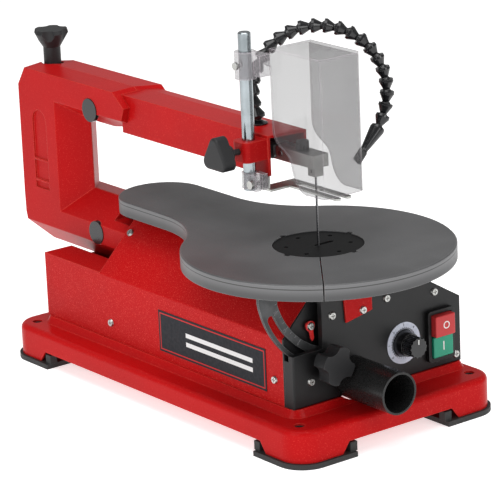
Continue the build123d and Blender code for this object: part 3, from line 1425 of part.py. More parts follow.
with BuildPart() as guard_screws:
    with BuildSketch(side_plane(POST_X - POST_R)):
        with Locations((POST_Y, GUARD_PIN_Z - 4)):
            Circle(1.6)
    extrude(amount=-4.5)
    with BuildSketch(side_plane(POST_X - POST_R - 4.2)):
        with Locations((POST_Y, GUARD_PIN_Z - 4)):
            Circle(3.5)
    extrude(amount=-2.5)
    with BuildSketch(side_plane(CLIP_LEFT - 3)):
        with Locations((FOOT_SCREW_Y, FOOT_SCREW_Z)):
            Circle(4)
    extrude(amount=3)
    with BuildSketch(side_plane(CLIP_LEFT - 1)):
        with Locations((FOOT_SCREW_Y, FOOT_SCREW_Z)):
            Circle(CLIP_PIN_R)
    extrude(amount=CLIP_RIGHT - CLIP_LEFT + 3.4)
    with BuildSketch(side_plane(CLIP_RIGHT + 2.3)):
        with Locations((FOOT_SCREW_Y, FOOT_SCREW_Z)):
            Circle(3.2)
    extrude(amount=1.6)
guard_screws.part.label = "guard_screws"
export_step(guard_screws.part, "parts/guard_screws.step")

with BuildPart() as hold_down_foot:
    with BuildSketch(side_plane(CLIP_RIGHT + GAP)):
        with Locations((FOOT_SCREW_Y - 6.5, FOOT_Z)):
            Rectangle(13, 14, align=(Align.MIN, Align.MIN))
        with Locations((FOOT_SCREW_Y, FOOT_SCREW_Z)):
            Circle(CLIP_PIN_R + RUNNING, mode=Mode.SUBTRACT)
    extrude(amount=1.7)
    with BuildSketch(table_plane(FOOT_Z)):
        with Locations((CLIP_RIGHT + GAP, FOOT_SCREW_Y - 9.5)):
            Rectangle(9 - CLIP_RIGHT - GAP, 16, align=(Align.MIN, Align.MIN))
        for x in (-6, 6):
            with Locations((x, -38)):
                Rectangle(6, 70, align=(Align.CENTER, Align.MIN))
            with Locations((x, -38)):
                Circle(3)
    extrude(amount=2)
hold_down_foot.part.label = "hold_down_foot"
export_step(hold_down_foot.part, "parts/hold_down_foot.step")

with BuildPart() as blade_guard:
    with BuildSketch(side_plane(-GUARD_HALF)):
        with BuildLine():
            Polyline(
                (-20, GUARD_BOTTOM),
                (GUARD_FRONT, GUARD_BOTTOM),
                (GUARD_FRONT, GUARD_TOP),
                (GUARD_REAR, GUARD_TOP),
                (GUARD_REAR, 110),
            )
            Spline((GUARD_REAR, 110), (20, 92), (8, 84), (3, 70), (-5, 58), (-20, GUARD_BOTTOM))
        make_face()
    extrude(amount=2 * GUARD_HALF)
    fillet(blade_guard.edges().filter_by(Axis.Z).group_by(Axis.Y)[0], radius=5)
    with BuildSketch(front_plane(GUARD_FRONT + GUARD_WALL)):
        with Locations((0, GUARD_BOTTOM - 1)):
            Rectangle(
                2 * (GUARD_HALF - GUARD_WALL),
                GUARD_TOP - GUARD_WALL - GUARD_BOTTOM + 1,
                align=(Align.CENTER, Align.MIN),
            )
    extrude(amount=-(GUARD_REAR - GUARD_FRONT), mode=Mode.SUBTRACT)
    # ear the guard swings on
    with BuildSketch(side_plane(-GUARD_HALF)):
        with Locations((GUARD_PIN_Y, GUARD_PIN_Z)):
            Circle(6)
        with Locations((GUARD_REAR - 2, GUARD_PIN_Z)):
            Rectangle(GUARD_PIN_Y - GUARD_REAR + 2, 12, align=(Align.MIN, Align.CENTER))
        with Locations((GUARD_PIN_Y, GUARD_PIN_Z)):
            Circle(CLIP_PIN_R + RUNNING, mode=Mode.SUBTRACT)
    extrude(amount=GUARD_WALL)
blade_guard.part.label = "blade_guard"
export_step(blade_guard.part, "parts/blade_guard.step")

# ---- jointed blower hose ------------------------------------------------------------------
HOSE_X = 40.0  # centre of the hose's loop
HOSE_Y = 40.0
HOSE_Z = 130.0
HOSE_R = 62.0
HOSE_HEADING = (0.737, -0.676)
HOSE_START = 200.0
HOSE_STEP = 10.7
HOSE_BEADS = 20
BALL_R = 5.15
SOCKET_R = BALL_R + RUNNING
HOSE_BORE = 2.4
NECK_HALF = 3.4
NOZZLE_AIM = (-0.76, -0.116, -0.638)
pitch = 2 * HOSE_R * sin(radians(HOSE_STEP / 2))


def loop_direction(angle):
    """Direction along the loop at an angle, going forwards and over."""
    level = sin(radians(angle))
    return (level * HOSE_HEADING[0], level * HOSE_HEADING[1], -cos(radians(angle)))


start_level = HOSE_R * cos(radians(HOSE_START))
bead_start = spot(
    HOSE_X + start_level * HOSE_HEADING[0],
    HOSE_Y + start_level * HOSE_HEADING[1],
    HOSE_Z + HOSE_R * sin(radians(HOSE_START)),
)
bead_directions = [loop_direction(HOSE_START - HOSE_STEP * (number + 0.5)) for number in range(HOSE_BEADS)]
loop_end = bead_directions[-1]
for share in (1 / 3, 2 / 3):
    bead_directions.append(tuple(a + (b - a) * share for a, b in zip(loop_end, NOZZLE_AIM)))
bead_places = []
place = Vector(*bead_start)
for direction in bead_directions:
    toward = Vector(*direction).normalized()
    bead_places.append(Plane(origin=place, z_dir=toward).location)
    place = place + toward * pitch
hose_end = place

with BuildPart() as bead:
    with BuildSketch(Plane.XZ):
        with BuildLine():
            Line(
                (HOSE_BORE, pitch + sqrt(BALL_R**2 - HOSE_BORE**2)),
                (HOSE_BORE, sqrt(SOCKET_R**2 - HOSE_BORE**2)),
            )
            ThreePointArc(
                (HOSE_BORE, sqrt(SOCKET_R**2 - HOSE_BORE**2)),
                (SOCKET_R * cos(radians(15)), SOCKET_R * sin(radians(15))),
                (sqrt(SOCKET_R**2 - 2.5**2), -2.5),
            )
            Polyline(
                (sqrt(SOCKET_R**2 - 2.5**2), -2.5),
                (6.6, -2.5),
                (6.9, 0),
                (NECK_HALF, 7),
                (NECK_HALF, pitch - sqrt(BALL_R**2 - NECK_HALF**2)),
            )
            ThreePointArc(
                (NECK_HALF, pitch - sqrt(BALL_R**2 - NECK_HALF**2)),
                (BALL_R, pitch),
                (HOSE_BORE, pitch + sqrt(BALL_R**2 - HOSE_BORE**2)),
            )
        make_face()
    revolve(axis=Axis.Z)

with BuildPart() as air_hose:
    with Locations(*bead_places):
        add(bead.part)
air_hose.part.label = "air_hose"
export_step(air_hose.part, "parts/air_hose.step")

with BuildPart() as hose_socket:
    with BuildSketch(Plane.XZ):
        with BuildLine():
            Polyline(
                (0, 0),
                (9, 0),
                (9, 1.5),
                (6, 2.5),
                (NECK_HALF, 4),
                (NECK_HALF, bead_start[2] - TABLE_TOP - SLEEVE_TOP - sqrt(BALL_R**2 - NECK_HALF**2)),
            )
            ThreePointArc(
                (NECK_HALF, bead_start[2] - TABLE_TOP - SLEEVE_TOP - sqrt(BALL_R**2 - NECK_HALF**2)),
                (BALL_R, bead_start[2] - TABLE_TOP - SLEEVE_TOP),
                (0, bead_start[2] - TABLE_TOP - SLEEVE_TOP + BALL_R),
            )
            Line((0, bead_start[2] - TABLE_TOP - SLEEVE_TOP + BALL_R), (0, 0))
        make_face()
    revolve(axis=Axis.Z)
hose_socket_placed = hose_socket.part.moved(
    Location((bead_start[0], bead_start[1], TABLE_TOP + SLEEVE_TOP))
)
hose_socket_placed.label = "hose_socket"
export_step(hose_socket_placed, "parts/hose_socket.step")

NOZZLE_LENGTH = 38.0
with BuildPart() as nozzle_shape:
    with BuildSketch(Plane.XZ):
        with BuildLine():
            Line((1.5, 26), (1.5, sqrt(SOCKET_R**2 - 1.5**2)))
            ThreePointArc(
                (1.5, sqrt(SOCKET_R**2 - 1.5**2)),
                (SOCKET_R * cos(radians(30)), SOCKET_R * sin(radians(30))),
                (sqrt(SOCKET_R**2 - 1.5**2), -1.5),
            )
            Polyline(
                (sqrt(SOCKET_R**2 - 1.5**2), -1.5),
                (6.8, -1.5),
                (7.1, 1),
                (3.6, 24),
                (3.6, 26),
                (1.5, 26),
            )
        make_face()
    revolve(axis=Axis.Z)
    with BuildSketch(Plane.XY.offset(26)):
        SlotOverall(10, 5)
    extrude(amount=NOZZLE_LENGTH - 26)
    with BuildSketch(Plane.XY.offset(25)):
        SlotOverall(6, 1.6)
    extrude(amount=NOZZLE_LENGTH - 24, mode=Mode.SUBTRACT)
with BuildPart() as hose_nozzle:
    with Locations(Plane(origin=hose_end, z_dir=Vector(*NOZZLE_AIM).normalized()).location):
        add(nozzle_shape.part)
hose_nozzle.part.label = "hose_nozzle"
export_step(hose_nozzle.part, "parts/hose_nozzle.step")
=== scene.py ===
import json
import math

import bmesh
import bpy
from mathutils import Matrix, Vector


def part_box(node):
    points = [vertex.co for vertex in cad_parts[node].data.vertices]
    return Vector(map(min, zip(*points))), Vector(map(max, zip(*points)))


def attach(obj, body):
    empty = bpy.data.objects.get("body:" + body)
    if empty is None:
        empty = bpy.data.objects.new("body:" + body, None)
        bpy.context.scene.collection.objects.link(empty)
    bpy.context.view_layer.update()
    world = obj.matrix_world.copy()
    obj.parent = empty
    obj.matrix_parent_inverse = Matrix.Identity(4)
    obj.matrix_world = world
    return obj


# A benchtop scroll saw: finishes for every CAD piece, printed marks on the controls,
# studio light and one camera. Metres, in the model's own frame.
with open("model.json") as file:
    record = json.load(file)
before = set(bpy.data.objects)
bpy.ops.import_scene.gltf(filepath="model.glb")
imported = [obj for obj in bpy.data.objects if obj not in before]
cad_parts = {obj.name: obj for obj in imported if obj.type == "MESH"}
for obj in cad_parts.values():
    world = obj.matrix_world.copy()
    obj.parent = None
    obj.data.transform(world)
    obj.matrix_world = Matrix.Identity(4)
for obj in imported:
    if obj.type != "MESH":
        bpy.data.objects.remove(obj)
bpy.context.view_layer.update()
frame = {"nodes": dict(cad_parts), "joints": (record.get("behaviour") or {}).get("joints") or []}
nodes = frame["nodes"]


# ---- shader maths ----------------------------------------------------------------------
class Signal:
    """One output socket that takes part in arithmetic; each operator adds a Math node."""

    def __init__(self, finish, socket):
        self.finish = finish
        self.socket = socket

    def _math(self, operation, first, second=0.0, third=0.0, clamp=False):
        settings = {"operation": operation, "use_clamp": clamp}
        made = self.finish.node("ShaderNodeMath", settings, {0: first, 1: second, 2: third})
        return Signal(self.finish, made.outputs[0])

    def __add__(self, other):
        return self._math("ADD", self, other)

    __radd__ = __add__

    def __sub__(self, other):
        return self._math("SUBTRACT", self, other)

    def __rsub__(self, other):
        return self._math("SUBTRACT", other, self)

    def __mul__(self, other):
        return self._math("MULTIPLY", self, other)

    __rmul__ = __mul__

    def __abs__(self):
        return self._math("ABSOLUTE", self)

    def above(self, level):
        return self._math("GREATER_THAN", self, level)

    def below(self, level):
        return self._math("LESS_THAN", self, level)

    def most(self, other):
        return self._math("MAXIMUM", self, other)

    def root(self):
        return self._math("SQRT", self)

    def clamped(self):
        return self._math("ADD", self, 0.0, clamp=True)

    def turn_to(self, other):
        return self._math("ARCTAN2", self, other)

    def wrapped(self, length):
        return self._math("WRAP", self, length, 0.0)


class Finish:
    """A named material with one surface shader, built up from nodes."""

    def __init__(self, name):
        self.material = bpy.data.materials.new(name)
        self.material.use_nodes = True
        self.tree = self.material.node_tree
        self.shader = self.tree.nodes["Principled BSDF"]
        self.place = self.node("ShaderNodeTexCoord", {}, {}).outputs["Object"]

    def node(self, kind, settings, sockets):
        made = self.tree.nodes.new(kind)
        for key, value in settings.items():
            setattr(made, key, value)
        self.fill(made, sockets)
        return made

    def fill(self, made, sockets):
        for key, value in sockets.items():
            if isinstance(value, Signal):
                value = value.socket
            if isinstance(value, bpy.types.NodeSocket):
                self.tree.links.new(value, made.inputs[key])
            elif isinstance(value, tuple) and len(value) == 3 and made.inputs[key].type == "RGBA":
                made.inputs[key].default_value = (*value, 1.0)
            else:
                made.inputs[key].default_value = value

    def signal(self, made, output=0):
        return Signal(self, made.outputs[output])

    def axes(self):
        split = self.node("ShaderNodeSeparateXYZ", {}, {0: self.place})
        return [self.signal(split, n) for n in range(3)]

    def noise(self, scale, detail=2.0, stretch=None):
        place = self.place
        if stretch:
            place = self.node("ShaderNodeMapping", {}, {"Vector": place, "Scale": stretch}).outputs[0]
        sockets = {"Vector": place, "Scale": scale, "Detail": detail}
        return self.signal(self.node("ShaderNodeTexNoise", {}, sockets))

    def cells(self, scale):
        return self.signal(self.node("ShaderNodeTexVoronoi", {}, {"Vector": self.place, "Scale": scale}))

    def ramp(self, value, low, high):
        """0 below low, 1 above high, smooth between."""
        made = self.node(
            "ShaderNodeMapRange",
            {"interpolation_type": "SMOOTHSTEP"},
            {"Value": value, "From Min": low, "From Max": high},
        )
        return self.signal(made)

    def mix(self, factor, first, second):
        made = self.node("ShaderNodeMix", {"data_type": "RGBA"}, {0: factor, 6: first, 7: second})
        return made.outputs[2]

    def rounded(self, radius):
        """Normals rounded over sharp edges, and a mask of where that is."""
        bevel = self.node("ShaderNodeBevel", {"samples": 4}, {"Radius": radius})
        flat = self.node("ShaderNodeNewGeometry", {}, {})
        normals = {0: bevel.outputs[0], 1: flat.outputs["Normal"]}
        match = self.node("ShaderNodeVectorMath", {"operation": "DOT_PRODUCT"}, normals)
        edge = self.ramp(1.0 - Signal(self, match.outputs["Value"]), 0.01, 0.22)
        return bevel.outputs[0], edge

    def bump(self, height, depth, normal=None, strength=1.0):
        sockets = {"Height": height, "Distance": depth, "Strength": strength}
        if normal is not None:
            sockets["Normal"] = normal
        return self.node("ShaderNodeBump", {}, sockets).outputs[0]

    def surface(self, **values):
        self.fill(self.shader, {key.replace("_", " "): value for key, value in values.items()})
        return self.material


# ---- finishes ----------------------------------------------------------------------------
RED = (0.46, 0.004, 0.005)
RED_DEEP = (0.36, 0.007, 0.008)
# Painted highlight red, mixed in as glints and along the edges.
RED_PAINTED_HIGHLIGHT = (0.86, 0.11, 0.08)


def red_enamel(name, grain, depth, roughness, edge_radius, glint=0.25):
    """Powder-coated red sheet: fine orange peel, with painted glints, and painted highlights making it
    lighter along its folded edges.
    """
    f = Finish(name)
    normal, edge = f.rounded(edge_radius)
    peel = f.noise(grain, 3.0)
    patch = f.noise(9.0, 2.0)
    coat = f.mix(f.ramp(patch, 0.3, 0.75) * 0.6, RED, RED_DEEP)
    # Painted glints: small light flecks scattered over the coat.
    painted_glint_specks = f.ramp(f.noise(grain * 1.7, 1.0), 0.58, 0.76) * glint
    coat = f.mix(painted_glint_specks, coat, RED_PAINTED_HIGHLIGHT)
    # Painted highlight: the coat is lightened along the sharp edges.
    coat = f.mix(edge * 0.6, coat, RED_PAINTED_HIGHLIGHT)
    rough = roughness + (peel - 0.5) * 0.14 - edge * 0.08
    return f.surface(
        Base_Color=coat,
        Roughness=rough.clamped(),
        Normal=f.bump(peel, depth, normal),
        Coat_Weight=0.02,
        Coat_Roughness=0.12,
        Specular_IOR_Level=0.06,
    )


def table_paint():
    """Grey paint on the top with faint rubbing, a paler side painted lighter towards the top as painted
    light, a fine groove under its edge, painted shade over the underside and painted highlights on the
    edges.
    """
    f = Finish("table_grey")
    normal, edge = f.rounded(0.0012)
    z = f.axes()[2]
    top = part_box("table")[1].z
    grain = f.noise(900.0, 2.0)
    cloud = f.noise(14.0, 3.0)
    rubbed = f.ramp(f.noise(40.0, 4.0, (1.0, 0.12, 1.0)), 0.55, 0.75) * 0.3
    paint = f.mix(f.ramp(cloud, 0.3, 0.7), (0.06, 0.06, 0.062), (0.086, 0.086, 0.088))
    paint = f.mix(rubbed, paint, (0.11, 0.11, 0.112))
    side = z.below(top - 0.0009)
    # Painted light: the side grows lighter towards the top.
    rim = f.mix(f.ramp(z, top - 0.013, top - 0.003), (0.07, 0.07, 0.072), (0.15, 0.15, 0.153))
    rim = f.mix(abs(z - (top - 0.0042)).below(0.0005), rim, (0.05, 0.05, 0.05))
    # Painted shade: everything below the skirt is darkened to near black.
    painted_under_shade = z.below(top - 0.0148)
    paint = f.mix(side, paint, rim)
    paint = f.mix(painted_under_shade, paint, (0.03, 0.03, 0.031))
    # Painted highlight: the edges are lightened towards pale grey.
    paint = f.mix(edge * 0.45, paint, (0.42, 0.42, 0.42))
    rough = 0.4 + (grain - 0.5) * 0.2 + side * 0.06
    return f.surface(
        Base_Color=paint,
        Roughness=rough,
        Normal=f.bump(grain, 0.00006, normal),
        Metallic=side * 0.2,
    )


def moulded(name, colour, roughness, grain=1400.0, depth=0.00004, edge_radius=0.0006, edge_highlight_lift=0.1, shine=0.3):
    """Moulded plastic: spark-eroded grain, faint flow patches, edges a little lighter from painted
    highlights.
    """
    f = Finish(name)
    normal, edge = f.rounded(edge_radius)
    fine = f.noise(grain, 2.0)
    flow = f.noise(30.0, 2.0)
    # Painted highlight colour for the edges: the plastic's colour lifted paler.
    pale = tuple(min(1.0, c + edge_highlight_lift) for c in colour)
    tint = f.mix(f.ramp(flow, 0.35, 0.75) * 0.22, colour, tuple(min(1.0, c * 1.5 + 0.004) for c in colour))
    # Painted highlight: the edges are mixed towards the paler colour.
    tint = f.mix(edge * 0.5, tint, pale)
    rough = roughness + (fine - 0.5) * 0.16
    return f.surface(
        Base_Color=tint,
        Roughness=rough.clamped(),
        Normal=f.bump(fine, depth, normal),
        Specular_IOR_Level=shine,
    )


def zinc(name, colour=(0.55, 0.58, 0.6), roughness=0.28, stretch=(1.0, 1.0, 0.05)):
    """Bright zinc plate: drawn lines along the piece and cloudy passivation."""
    f = Finish(name)
    normal, edge = f.rounded(0.0004)
    lines = f.noise(700.0, 2.0, stretch)
    cloud = f.noise(45.0, 3.0)
    tint = f.mix(f.ramp(cloud, 0.35, 0.7), colour, tuple(c * 0.72 for c in colour))
    # Painted highlight: the edges are mixed towards a bright pale zinc.
    tint = f.mix(edge * 0.5, tint, (0.85, 0.87, 0.88))
    rough = roughness + (cloud - 0.5) * 0.2
    return f.surface(
        Base_Color=tint,
        Metallic=1.0,
        Roughness=rough.clamped(),
        Normal=f.bump(lines, 0.00003, normal),
    )


def rubber():
    f = Finish("foot_rubber")
    normal, edge = f.rounded(0.0008)
    fine = f.noise(500.0, 3.0)
    dust = f.ramp(f.noise(22.0, 3.0), 0.5, 0.8)
    tint = f.mix(dust * 0.5, (0.013, 0.013, 0.013), (0.04, 0.038, 0.036))
    # Painted highlight: the edges are lightened towards grey.
    tint = f.mix(edge * 0.4, tint, (0.09, 0.09, 0.09))
    return f.surface(
        Base_Color=tint,
        Roughness=0.62 + (fine - 0.5) * 0.2,
        Normal=f.bump(fine, 0.00008, normal),
    )


def clear_plastic(name, alpha, tint):
    """Clear moulded plastic: thin in the middle of a wall, denser at its edges, with a pale pink painted
    highlight along them.
    """
    f = Finish(name)
    normal, edge = f.rounded(0.0012)
    haze = f.noise(26.0, 2.0)
    scuff = f.ramp(f.noise(120.0, 3.0, (1.0, 1.0, 0.1)), 0.62, 0.78)
    facing = f.signal(f.node("ShaderNodeLayerWeight", {}, {"Blend": 0.35}), 1)
    body = f.mix(f.ramp(haze, 0.3, 0.7), tint, tuple(c * 0.88 for c in tint))
    # Painted highlight: the edges are tinted pale pink.
    body = f.mix(edge * 0.9, body, (0.9, 0.78, 0.86))
    dense = alpha + facing * 0.15 + edge * 0.4 + scuff * 0.05
    return f.surface(
        Base_Color=body,
        Alpha=dense.clamped(),
        Roughness=0.06 + scuff * 0.12,
        Normal=f.bump(haze, 0.0002, normal, 0.3),
        IOR=1.45,
    )


def label_print():
    """Printed plate: black field, thin red border and two plain pale bars."""
    f = Finish("label_print")
    low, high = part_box("side_label")
    x, y, z = f.axes()
    across = abs(y - (low.y + high.y) / 2)
    up = abs(z - (low.z + high.z) / 2)
    half_y, half_z = (high.y - low.y) / 2, (high.z - low.z) / 2
    border = across.above(half_y - 0.0032).most(up.above(half_z - 0.0032))
    rim = across.above(half_y - 0.002).most(up.above(half_z - 0.002))
    middle_z = low.z + half_z
    upper_bar = abs(z - (middle_z + 0.0045)).below(0.0022)
    lower_bar = abs(z - (middle_z - 0.0045)).below(0.0022)
    bars = upper_bar.most(lower_bar)
    bars = bars * abs(y - (low.y + half_y * 0.86)).below(half_y * 0.62)
    wear = f.noise(300.0, 3.0)
    ink = f.mix(f.ramp(wear, 0.3, 0.7), (0.008, 0.01, 0.014), (0.016, 0.018, 0.023))
    ink = f.mix(border * (1.0 - rim), ink, (0.5, 0.02, 0.02))
    ink = f.mix(bars, ink, (0.74, 0.74, 0.74))
    return f.surface(
        Base_Color=ink,
        Roughness=0.3 + (wear - 0.5) * 0.1,
        Normal=f.bump(wear, 0.00002),
        Specular_IOR_Level=0.1,
    )


def dial_print():
    """Pale ring with fine radial ticks round its inner edge."""
    f = Finish("dial_print")
    low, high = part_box("dial_ring")
    x, y, z = f.axes()
    from_x = x - (low.x + high.x) / 2
    from_z = z - (low.z + high.z) / 2
    angle = from_x.turn_to(from_z)
    radius = (from_x * from_x + from_z * from_z).root()
    tick = abs((angle + math.pi).wrapped(math.pi / 18) - math.pi / 36).below(0.012) * radius.below(0.0155)
    band = abs(radius - 0.0142).below(0.00035) * abs(angle).below(2.5)
    stain = f.noise(200.0, 2.0)
    ink = f.mix(f.ramp(stain, 0.3, 0.7), (0.5, 0.53, 0.63), (0.58, 0.6, 0.69))
    ink = f.mix(tick.most(band), ink, (0.02, 0.02, 0.03))
    return f.surface(Base_Color=ink, Roughness=0.45 + (stain - 0.5) * 0.1)


def steel_blade():
    f = Finish("blade_steel")
    x, y, z = f.axes()
    teeth = abs(z.wrapped(0.0025) - 0.00125) * 2.2
    drawn = f.noise(900.0, 2.0, (1.0, 1.0, 0.02))
    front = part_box("saw_blade")[0].y
    set_dark = f.ramp(y - (front + teeth * 0.35), -0.0001, 0.0004)
    tint = f.mix(set_dark, (0.42, 0.42, 0.43), (0.07, 0.07, 0.075))
    return f.surface(Base_Color=tint, Metallic=0.9, Roughness=0.35 + (drawn - 0.5) * 0.2)


def cast_scale():
    """Dark cast plate with a fine stipple and painted highlights that make its outer edges bright."""
    f = Finish("scale_cast")
    normal, edge = f.rounded(0.0007)
    stipple = f.cells(900.0)
    cloud = f.noise(60.0, 3.0)
    tint = f.mix(f.ramp(cloud, 0.3, 0.75), (0.035, 0.036, 0.037), (0.085, 0.087, 0.09))
    # Painted highlight: the outer edges are lightened towards pale grey.
    tint = f.mix(edge * 0.8, tint, (0.35, 0.36, 0.36))
    return f.surface(
        Base_Color=tint,
        Metallic=0.4,
        Roughness=0.42 + (stipple - 0.4) * 0.12,
        Normal=f.bump(stipple, 0.00008, normal),
    )


sheet_red = red_enamel("sheet_red", 520.0, 0.00004, 0.3, 0.0012)
grainy_red = red_enamel("grainy_red", 650.0, 0.00022, 0.4, 0.0016, 0.6)
casting_red = red_enamel("casting_red", 600.0, 0.00010, 0.36, 0.0016)
black_cover = moulded("black_cover", (0.007, 0.007, 0.0075), 0.42, edge_highlight_lift=0.12)
black_port = moulded("black_port", (0.012, 0.012, 0.012), 0.28, 700.0, 0.00003, edge_highlight_lift=0.14)
black_gloss = moulded("black_gloss", (0.006, 0.006, 0.007), 0.16, 600.0, 0.00002, edge_highlight_lift=0.2, shine=0.5)
black_knob = moulded("black_knob", (0.016, 0.016, 0.017), 0.46, 1100.0, 0.00006, edge_highlight_lift=0.1)
red_button = moulded("red_button", (0.46, 0.028, 0.03), 0.25, edge_highlight_lift=0.2)
green_button = moulded("green_button", (0.012, 0.27, 0.16), 0.25, edge_highlight_lift=0.2)
pointer_red = moulded("pointer_red", (0.62, 0.02, 0.02), 0.35, edge_highlight_lift=0.2)
insert_black = moulded("insert_black", (0.003, 0.003, 0.0033), 0.5, 900.0, 0.00004, edge_highlight_lift=0.02, shine=0.1)
board_green = moulded("board_green", (0.015, 0.13, 0.05), 0.4, edge_highlight_lift=0.05)
post_zinc = zinc("post_zinc", (0.36, 0.4, 0.42), 0.2)
plate_zinc = zinc("plate_zinc", (0.5, 0.5, 0.48), 0.3, (0.1, 1.0, 1.0))
cast_alloy = zinc("cast_alloy", (0.4, 0.41, 0.42), 0.5, (1.0, 1.0, 1.0))
clear_guard = clear_plastic("clear_guard", 0.27, (0.12, 0.116, 0.12))
clear_clip = clear_plastic("clear_clip", 0.34, (0.4, 0.38, 0.4))

finish_of = {
    sheet_red: ["base_pan", "front_hinge", "arm_sleeve", "post_bracket"],
    grainy_red: ["motor_housing"],
    casting_red: ["casing_left", "casing_right"],
    black_cover: ["front_cover", "front_plate", "switch_frame"],
    black_port: ["dust_port"],
    black_gloss: [
        "air_hose",
        "hose_socket",
        "hose_nozzle",
        "pivot_plugs",
        "speed_dial",
        "upper_clamp_screw",
        "lower_clamp_screw",
        "motor",
        "cord_gland",
    ],
    black_knob: ["tilt_knob", "post_knob", "tension_knob", "arm_boot"],
    red_button: ["stop_button"],
    green_button: ["start_button"],
    pointer_red: ["angle_pointer"],
    insert_black: ["table_insert"],
    board_green: ["control_board"],
    post_zinc: [
        "guard_post",
        "tension_link",
        "pivot_pins",
        "holder_pins",
        "lock_bolt",
        "motor_shaft",
        "tilt_pins",
    ],
    plate_zinc: [
        "cover_screws",
        "housing_screws",
        "small_screws",
        "guard_screws",
        "hold_down_foot",
        "lock_nut",
        "speed_control",
        "upper_holder",
        "lower_holder",
        "rear_hinge",
        "eccentric",
    ],
    cast_alloy: ["upper_arm", "lower_arm", "connecting_rod"],
    clear_guard: ["blade_guard"],
    clear_clip: ["guard_clip", "foot_clip"],
    table_paint(): ["table"],
    rubber(): ["rubber_feet"],
    label_print(): ["side_label"],
    dial_print(): ["dial_ring"],
    steel_blade(): ["saw_blade"],
    cast_scale(): ["bevel_scale"],
}
for material, names in finish_of.items():
    for name in names:
        for slot in nodes[name].material_slots:
            slot.material = material


# ---- printed and moulded marks -------------------------------------------------------------
def ink(name, colour):
    f = Finish(name)
    fleck = f.noise(2500.0, 2.0)
    tint = f.mix(f.ramp(fleck, 0.45, 0.8) * 0.3, colour, tuple(c * 0.6 for c in colour))
    return f.surface(Base_Color=tint, Roughness=0.45 + (fleck - 0.5) * 0.15)


white_ink = ink("white_ink", (0.78, 0.78, 0.76))
dark_ink = ink("dark_ink", (0.03, 0.03, 0.04))
pale_relief = ink("pale_relief", (0.16, 0.16, 0.165))


def finish_mesh(name, bm, material, body):
    """Makes a bmesh a piece that sits at the origin and rides on a body."""
    mesh = bpy.data.meshes.new(name)
    bm.to_mesh(mesh)
    bm.free()
    mesh.materials.append(material)
    piece = bpy.data.objects.new(name, mesh)
    bpy.context.scene.collection.objects.link(piece)
    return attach(piece, body)


def lettering(bm, words, size, centre, turn=0.0, thick=0.00012):
    """Adds flat lettering facing the operator, centred on a point and turned in its plane."""
    curve = bpy.data.curves.new("words", "FONT")
    curve.body = words
    curve.size = size
    curve.extrude = thick
    curve.resolution_u = 3
    curve.align_x = "CENTER"
    curve.align_y = "CENTER"
    carrier = bpy.data.objects.new("words", curve)
    flat = bpy.data.meshes.new_from_object(carrier)
    upright_turn = Matrix.Rotation(turn, 4, "Y") @ Matrix.Rotation(math.pi / 2, 4, "X")
    flat.transform(Matrix.Translation(centre) @ upright_turn)
    bm.from_mesh(flat)
    bpy.data.objects.remove(carrier)
    bpy.data.curves.remove(curve)
    bpy.data.meshes.remove(flat)


def bar(bm, size, centre, turn=0.0):
    """Adds a small bevelled bar facing the operator."""
    place = Matrix.Translation(centre) @ Matrix.Rotation(turn, 4, "Y")
    made = bmesh.ops.create_cube(bm, size=1.0, matrix=place @ Matrix.Diagonal((*size, 1.0)))
    edges = {edge for vert in made["verts"] for edge in vert.link_edges}
    bmesh.ops.bevel(
        bm,
        geom=list(edges),
        offset=min(size) * 0.2,
        offset_type="OFFSET",
        affect="EDGES",
        segments=1,
        profile=0.5,
        material=-1,
    )


def middle(node):
    low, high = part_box(node)
    return (low + high) / 2


def front_of(node, x=0.0, z=0.0, out=0.00008):
    """A point on a node's front face, offset from its middle."""
    low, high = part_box(node)
    return Vector(((low.x + high.x) / 2 + x, low.y - out, (low.z + high.z) / 2 + z))


stop_mark = bmesh.new()
lettering(stop_mark, "O", 0.0105, front_of("stop_button", 0.001, 0.0))
finish_mesh("stop_mark", stop_mark, white_ink, "stop_button")

start_mark = bmesh.new()
lettering(start_mark, "I", 0.0125, front_of("start_button", 0.0, 0.0))
finish_mesh("start_mark", start_mark, white_ink, "start_button")

DIAL_NUMBER_RADIUS = 0.0176
dial_centre = middle("dial_ring")
dial_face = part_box("dial_ring")[0].y
dial_numbers = bmesh.new()
for number in range(7):
    angle = math.radians(-130 + number * 260 / 6)
    across = DIAL_NUMBER_RADIUS * math.sin(angle)
    up = DIAL_NUMBER_RADIUS * math.cos(angle)
    at = Vector((dial_centre.x + across, dial_face - 0.00006, dial_centre.z + up))
    lettering(dial_numbers, str(number), 0.0036, at, angle)
finish_mesh("dial_numbers", dial_numbers, dark_ink, "base")

dial_line = bmesh.new()
bar(dial_line, (0.0011, 0.0003, 0.0045), front_of("speed_dial", z=0.0055, out=0.0001))
finish_mesh("dial_line", dial_line, white_ink, "speed_dial")

scale_marks = bmesh.new()
hinge = next(j for j in frame["joints"] if j["name"] == "table_tilt")
axis_x, _, axis_z = hinge["pos_m"]
SCALE_HALF_THICKNESS = 0.0015
scale_face = middle("bevel_scale").y - SCALE_HALF_THICKNESS
tip = middle("angle_pointer")
start_angle = math.atan2(axis_x - tip.x, axis_z - tip.z) + math.radians(6)


def on_scale(radius, angle, out):
    """A point on the scale's face, measured from straight below the tilt axis."""
    return Vector((axis_x - radius * math.sin(angle), scale_face - out, axis_z - radius * math.cos(angle)))


for step in range(10):
    angle = start_angle + math.radians(5 * step)
    long = step % 3 == 0
    reach = 0.0035 if long else 0.0022
    at = on_scale(0.0785 + reach / 2, angle, 0.00005)
    bar(scale_marks, (0.0006, 0.0003, reach), at, angle)
    if long:
        at = on_scale(0.0835, angle, 0.0001)
        lettering(scale_marks, str(5 * step), 0.0042, at, angle)
finish_mesh("scale_marks", scale_marks, pale_relief, "table")

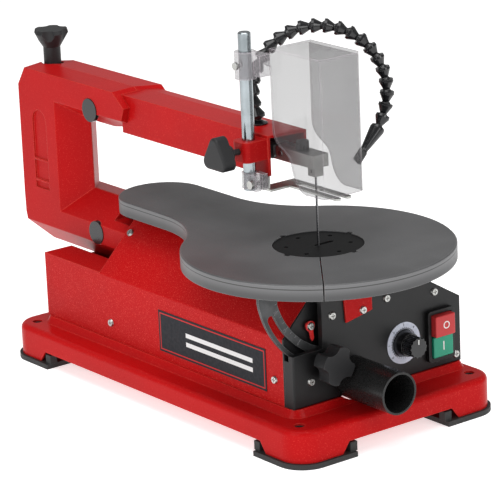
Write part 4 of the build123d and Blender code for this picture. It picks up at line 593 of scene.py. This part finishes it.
# ---- floor, light, camera -----------------------------------------------------------------
pale = Finish("studio_floor")
mottle = pale.noise(3.0, 2.0)
floor_material = pale.surface(
    Base_Color=pale.mix(pale.ramp(mottle, 0.2, 0.8), (0.88, 0.88, 0.88), (0.9, 0.9, 0.9)),
    Roughness=0.9,
    Emission_Color=(1.0, 1.0, 1.0),
    Emission_Strength=0.62,
)
ground = bmesh.new()
bmesh.ops.create_grid(ground, x_segments=2, y_segments=2, size=12.0)
floor_mesh = bpy.data.meshes.new("floor")
ground.to_mesh(floor_mesh)
ground.free()
floor_mesh.materials.append(floor_material)
floor = bpy.data.objects.new("floor", floor_mesh)
bpy.context.scene.collection.objects.link(floor)

world = bpy.data.worlds.new("studio")
bpy.context.scene.world = world
world.use_nodes = True
backdrop = world.node_tree.nodes["Background"].inputs
backdrop[0].default_value = (1.0, 1.0, 1.0, 1.0)
backdrop[1].default_value = 0.4


def softbox(name, place, target, size, watts):
    lamp = bpy.data.lights.new(name, "AREA")
    lamp.shape = "RECTANGLE"
    lamp.size, lamp.size_y = size
    lamp.energy = watts
    holder = bpy.data.objects.new(name, lamp)
    aim = (Vector(target) - Vector(place)).to_track_quat("-Z", "Y")
    holder.matrix_world = Matrix.Translation(place) @ aim.to_matrix().to_4x4()
    bpy.context.scene.collection.objects.link(holder)


softbox("overhead", (-0.3, -0.3, 1.9), (0.0, 0.0, 0.1), (1.6, 1.4), 22)
softbox("left_bank", (-1.9, -0.5, 1.0), (0.0, 0.0, 0.15), (1.2, 1.0), 12)
softbox("front_bank", (0.5, -2.1, 1.1), (0.0, 0.0, 0.12), (0.9, 0.9), 11)

CAMERA_PLACE = (-1.6732, -2.22423, 0.97526)
CAMERA_ROLL = math.radians(-2.48)
forward = Vector((0.57765, 0.76324, -0.28947)).normalized()
level = forward.cross(Vector((0, 0, 1))).normalized()
upright = level.cross(forward)
right = level * math.cos(CAMERA_ROLL) + upright * math.sin(CAMERA_ROLL)
above = upright * math.cos(CAMERA_ROLL) - level * math.sin(CAMERA_ROLL)
camera_data = bpy.data.cameras.new("camera")
camera_data.lens = 216.6
camera_data.sensor_width = 36.0
camera_data.clip_end = 60.0
camera = bpy.data.objects.new("camera", camera_data)
facing = Matrix((right, above, -forward)).transposed().to_4x4()
camera.matrix_world = Matrix.Translation(CAMERA_PLACE) @ facing
bpy.context.scene.collection.objects.link(camera)
bpy.context.scene.camera = camera
bpy.context.scene.view_settings.view_transform = "Standard"

bpy.context.view_layer.update()
